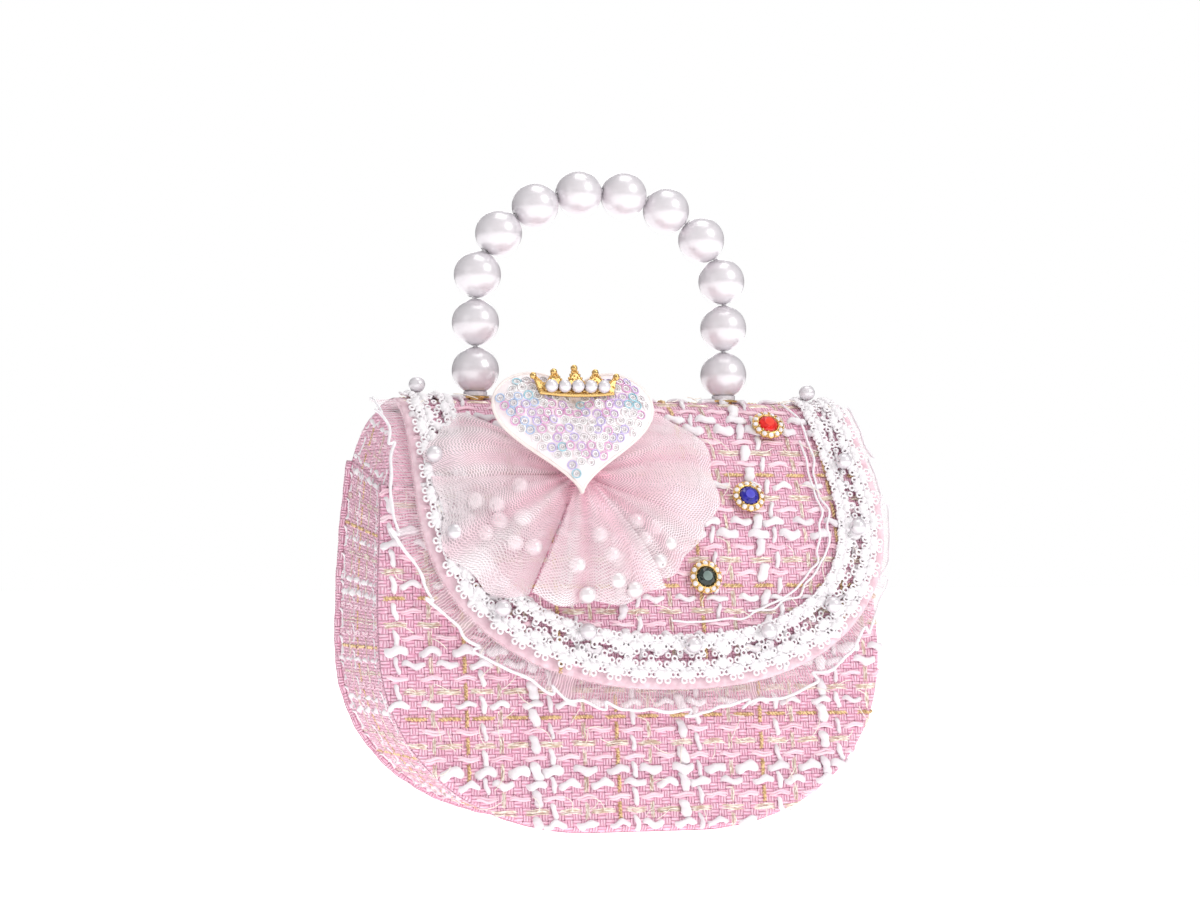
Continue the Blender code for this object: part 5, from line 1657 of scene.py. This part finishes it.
def build_crown():
    """A thin gold plate with a pointed rim, covered with small beads."""
    place = crown_matrix()
    soup = Soup()
    x = np.linspace(-CROWN_HALF, CROWN_HALF, 81)
    base = crown_base(x)
    face = []
    for r in np.linspace(0.0, 1.0, 7):
        y = base + (crown_top(x) - base) * r
        face.append(np.stack([x * (1 - 0.12 * (1 - r)), y, 0.5 * MM + 0 * x], axis=1))
    face = np.array(face)
    verts, quads = slab(face, face - (0.0, 0.0, 0.9 * MM))
    soup.add(moved(verts, place), quads)
    grain = ball_form(8, 6)
    local = np.random.RandomState(4)

    def bead(px, py, pz, radius):
        seat = place @ Matrix.Translation((px, py, pz))
        soup.add(moved(grain[0] * radius, seat), grain[1], caps=grain[2])

    for k in range(5):
        spread = (k - 2) / 2.0 * CROWN_HALF
        bead(spread, float(crown_top(np.array(spread))) + 0.5 * MM, 0.2 * MM, 1.15 * MM)
    for k in range(46):
        px = -0.46 * CROWN_WIDTH + 0.92 * CROWN_WIDTH * k / 45
        top = float(crown_top(np.array(px)))
        bead(px, top - 0.1 * MM, 0.35 * MM, 0.48 * MM)
        bead(px * 0.94, 0.35 * MM + crown_base(px), 0.7 * MM, 0.62 * MM)
        bead(px * 0.93, local.uniform(0.8, 2.2) * MM, 0.65 * MM, local.uniform(0.35, 0.6) * MM)
        height = local.uniform(0.40, 0.85)
        bead(px, top * height + 0.6 * MM, 0.55 * MM, local.uniform(0.28, 0.45) * MM)
    crown = soup.piece("gold_crown", (GOLD_METAL,), "flap")
    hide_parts("crown")


def build_crown_pearls():
    """The five pearls in a row across the crown."""
    place = crown_matrix()
    soup = Soup()
    verts, quads = pearl_form(CROWN_PEARL_R, 0.3 * MM, 20, 12)
    lie_down = Matrix.Rotation(0.5 * math.pi, 4, "Y")
    for k in range(5):
        seat = Matrix.Translation(((k - 2) * CROWN_PEARL_PITCH, 0.30 * CROWN_HEIGHT, 2.2 * MM))
        soup.add(moved(verts, place @ seat @ lie_down), quads)
    row = soup.piece("crown_pearls", (PEARL,), "flap")
    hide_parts("crown_pearl_row")


# ---------------------------------------------------------------- buttons

# The buttons: colour, x and s in mm, and how far each stands off the cloth.
BUTTON_PLACES = (("red", 50.5, 17.0, 0.9), ("blue", 39.0, 42.5, 0.0), ("green", 21.5, 68.0, 0.0))
SMALL_STONES = 12
# The cup's turned section: radius and height in mm.
CUP_SECTION = (
    (3.3, 2.55), (3.75, 2.6), (4.1, 2.0), (4.7, 1.9), (5.0, 1.5), (4.9, 0.9), (3.8, 0.1), (0.4, 0.0),
    (0.4, 0.9), (3.0, 0.9),
)
SCALLOP = 0.055
SCALLOP_START = 4.3 * MM
STONE_SEAT = (4.3 * MM, 2.05 * MM, 0.3)
CRYSTAL_R = 3.15 * MM
CRYSTAL_TABLE = 0.56


def flap_matrix(x, s, lift):
    """A frame on the flap whose Z axis points out of it."""
    point = on_flap(x, s, lift)
    ahead = on_flap(x, s, lift + 1 * MM) - point
    turn = Vector((0, 0, 1)).rotation_difference(Vector(ahead).normalized())
    return Matrix.Translation(Vector(point)) @ turn.to_matrix().to_4x4()


def brilliant(radius, height, table, sides):
    """A faceted stone: flat table, a crown of kite-like facets, girdle and pavilion."""
    rings = ((table * radius, height, 0.5), (0.84 * radius, 0.62 * height, 0.0), (radius, 0.2 * height, 0.5),
             (radius, 0.0, 0.5), (0.55 * radius, -0.5 * height, 0.0))
    points = []
    for reach, rise, phase in rings:
        for k in range(sides):
            turn = 2.0 * math.pi * (k + phase) / sides
            points.append((reach * math.cos(turn), reach * math.sin(turn), rise))
    last = sides * (len(rings) - 1)
    caps = np.array([range(sides), range(last + sides - 1, last - 1, -1)])
    return np.array(points), grid_quads(len(rings), sides, True), caps


def round_seat(seat, step, reach, rise, tip=0.0):
    """A place round a button's axis: step counts the small stones, and tip leans it outwards."""
    turn = Matrix.Rotation(2.0 * math.pi * step / SMALL_STONES, 4, "Z")
    return seat @ turn @ Matrix.Translation((reach, 0, rise)) @ Matrix.Rotation(tip, 4, "Y")


def build_cup(colour, seat):
    """The gilt cup with a scalloped rim, twelve small settings and a claw on each side of them."""
    soup = Soup()
    verts, quads = lathe([(r * MM, h * MM) for r, h in CUP_SECTION], 72)
    around = np.arctan2(verts[:, 1], verts[:, 0])
    outside = np.hypot(verts[:, 0], verts[:, 1]) > SCALLOP_START
    scallop = 1.0 + SCALLOP * np.cos(SMALL_STONES * around) * outside
    verts = verts * np.stack([scallop, scallop, np.ones(len(verts))], axis=1)
    soup.add(moved(verts, seat), quads)
    hoop, hoop_quads = ring_form(0.92 * MM, 0.2 * MM, 14, 6)
    grain, grain_quads, grain_caps = ball_form(8, 6)
    for k in range(SMALL_STONES):
        soup.add(moved(hoop, round_seat(seat, k, *STONE_SEAT)), hoop_quads)
        for reach, rise, radius in ((3.45, 2.6, 0.34), (5.05, 1.9, 0.36)):
            claw = round_seat(seat, k + 0.5, reach * MM, rise * MM)
            soup.add(moved(grain * radius * MM, claw), grain_quads, caps=grain_caps)
    setting = soup.piece("button_%s_cup" % colour, (GOLD_METAL,), "flap")
    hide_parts("button_%s_setting" % colour)


def build_stones(colour, seat):
    """The large faceted crystal with its flat table in lighter colours, a painted reflection, and the ring of
    small clear stones.
    """
    soup = Soup()
    verts, quads, caps = brilliant(CRYSTAL_R, 1.5 * MM, CRYSTAL_TABLE, 12)
    soup.add(moved(verts, seat @ Matrix.Translation((0, 0, 2.1 * MM))), quads, 0, caps=caps)
    verts, quads, caps = brilliant(0.84 * MM, 0.55 * MM, 0.5, 8)
    for k in range(SMALL_STONES):
        soup.add(moved(verts, round_seat(seat, k, *STONE_SEAT)), quads, 1, caps=caps)
    # A thin cap over the crystal's flat top in a lighter copy of its colour: a painted reflection.
    verts, quads, caps = brilliant(0.9 * CRYSTAL_TABLE * CRYSTAL_R, 0.05 * MM, 0.9, 12)
    soup.add(moved(verts, seat @ Matrix.Translation((0, 0, 3.63 * MM))), quads, 2, caps=caps)
    stone, table = STONES[colour]
    piece = soup.piece("button_%s_stones" % colour, (stone, CLEAR_STONE, table), "flap", smooth=False)
    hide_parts("button_%s_crystal" % colour)


def build_buttons():
    for colour, x, s, raised in BUTTON_PLACES:
        seat = flap_matrix(x * MM, s * MM, FLAP_OUTER + 0.3 * MM + raised * MM)
        build_cup(colour, seat)
        build_stones(colour, seat)


# ---------------------------------------------------------------- handle

BEAD_R = 7.5 * MM
BEAD_BORE_R = 1.1 * MM


def build_beads():
    """Twelve pearl beads, each turned along the string."""
    centres = []
    for k in range(1, 13):
        low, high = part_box("handle_bead_%02d" % k)
        centres.append((low + high) / 2)
    verts, quads = pearl_form(BEAD_R, BEAD_BORE_R, 48, 30)
    for k, centre in enumerate(centres):
        before = centres[max(0, k - 1)]
        after = centres[min(len(centres) - 1, k + 1)]
        turn = Vector((0, 0, 1)).rotation_difference((after - before).normalized()).to_matrix().to_4x4()
        soup = Soup()
        soup.add(moved(verts, Matrix.Translation(centre) @ turn), quads)
        bead = soup.piece("pearl_bead_%02d" % (k + 1), (PEARL,), "handle")
        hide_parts("handle_bead_%02d" % (k + 1))


# ---------------------------------------------------------------- CAD nodes that stay

KEPT_NODES = (
    (LINING, ("lining", "flap_lining")),
    (BOARD, ("front_board", "back_board", "base_board", "flap_board")),
    (NICKEL, ("snap_socket", "snap_socket_washer", "snap_stud", "snap_stud_washer")),
    (GOLD_METAL, ("eyelet_left", "eyelet_right")),
    (PEARL, ("bead_cap_left", "bead_cap_right")),
    (CORD_WHITE, ("cord_knot_left", "cord_knot_right", "handle_cord")),
)


def finish_frame_nodes():
    """Materials for the nodes whose shape is kept."""
    for mat, names in KEPT_NODES:
        for name in names:
            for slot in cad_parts[name].material_slots:
                slot.material = mat


# ---------------------------------------------------------------- stage

AIM = Vector((-5.2, 1.3, 117.8)) * MM
CAMERA_TURN = math.radians(-18.0)
CAMERA_RISE = math.radians(-2.0)
CAMERA_AWAY = 0.95


# Light from above and from the floor, with a dimmer band between, which the pearls mirror.
# Each stop: its height in the sky, then its colour.
SKY = (
    (0.30, (0.58, 0.57, 0.575)),
    (0.52, (0.20, 0.195, 0.20)),
    (0.68, (0.52, 0.52, 0.52)),
    (0.95, (0.58, 0.58, 0.58)),
)
# The lamps: name, place in metres, size in metres and power in watts.
LAMPS = (
    ("key", (0.75, -0.95, 0.85), 0.55, 7.4),
    ("left", (-1.1, -0.5, 0.45), 0.6, 0.5),
    ("top", (0.1, -0.05, 1.25), 0.7, 3.7),
    ("back", (0.3, 1.2, 0.8), 0.8, 4.0),
)
FLOOR_REACH = 6.0
FLOOR_Z = -0.2 * MM


def build_camera(scene):
    lens = bpy.data.cameras.new("camera")
    lens.lens = 90.0
    lens.sensor_width = 36.0
    lens.clip_start = 0.01
    camera = bpy.data.objects.new("camera", lens)
    level = math.cos(CAMERA_RISE)
    back = Vector((math.sin(CAMERA_TURN) * level, -math.cos(CAMERA_TURN) * level, math.sin(CAMERA_RISE)))
    camera.location = AIM + back * CAMERA_AWAY
    camera.rotation_euler = (-back).to_track_quat("-Z", "Y").to_euler()
    scene.collection.objects.link(camera)
    scene.camera = camera


def build_world(scene):
    """A sky that lights the bag by SKY and is plain white to the camera."""
    world = bpy.data.worlds.new("studio")
    scene.world = world
    world.use_nodes = True
    nodes, links = world.node_tree.nodes, world.node_tree.links
    nodes.clear()
    place = nodes.new("ShaderNodeTexCoord")
    split = nodes.new("ShaderNodeSeparateXYZ")
    height = nodes.new("ShaderNodeMapRange")
    height.inputs["From Min"].default_value = -1.0
    ramp = nodes.new("ShaderNodeValToRGB")
    stops = ramp.color_ramp.elements
    for position, _ in SKY[1:-1]:
        stops.new(position)
    for stop, (position, colour) in zip(stops, SKY):
        stop.position = position
        stop.color = (*colour, 1.0)
    fill = nodes.new("ShaderNodeBackground")
    seen = nodes.new("ShaderNodeBackground")
    seen.inputs[0].default_value = (1.0, 1.0, 1.0, 1.0)
    path = nodes.new("ShaderNodeLightPath")
    mix = nodes.new("ShaderNodeMixShader")
    out = nodes.new("ShaderNodeOutputWorld")
    links.new(place.outputs["Generated"], split.inputs[0])
    links.new(split.outputs[2], height.inputs["Value"])
    links.new(height.outputs[0], ramp.inputs[0])
    links.new(ramp.outputs[0], fill.inputs[0])
    links.new(path.outputs["Is Camera Ray"], mix.inputs[0])
    links.new(fill.outputs[0], mix.inputs[1])
    links.new(seen.outputs[0], mix.inputs[2])
    links.new(mix.outputs[0], out.inputs[0])


def build_lamps(scene):
    for name, place, size, power in LAMPS:
        light = bpy.data.lights.new(name, "AREA")
        light.size = size
        light.energy = power
        lamp = bpy.data.objects.new(name, light)
        lamp.location = place
        lamp.rotation_euler = (Vector(place) - AIM).to_track_quat("Z", "Y").to_euler()
        scene.collection.objects.link(lamp)


def build_floor():
    soup = Soup()
    reaches = (-FLOOR_REACH, FLOOR_REACH)
    grid = np.array([[(x, y, FLOOR_Z) for y in reaches] for x in reaches])
    soup.add(grid, np.array([[0, 2, 3, 1]]), 0, closed=False)
    look = Look("pale_floor", (0.92, 0.92, 0.92), 0.9)
    look.put("Emission Color", (1.0, 1.0, 1.0, 1.0))
    look.put("Emission Strength", 0.8)
    floor = soup.piece("floor", (look.mat,), None)


def build_stage():
    scene = bpy.context.scene
    scene.view_settings.view_transform = "Standard"
    build_camera(scene)
    build_world(scene)
    build_lamps(scene)
    build_floor()


build_stage()
build_front_panel()
build_back_panel()
build_gusset()
build_welt()
build_stitches()
build_flap()
build_hinge_fold()
build_lace()
build_hem()
build_ruffle()
build_edge_cord()
build_lace_pearls()
build_bow()
build_gather()
build_bow_pearls()
build_heart()
build_crown()
build_crown_pearls()
build_buttons()
build_beads()
finish_frame_nodes()
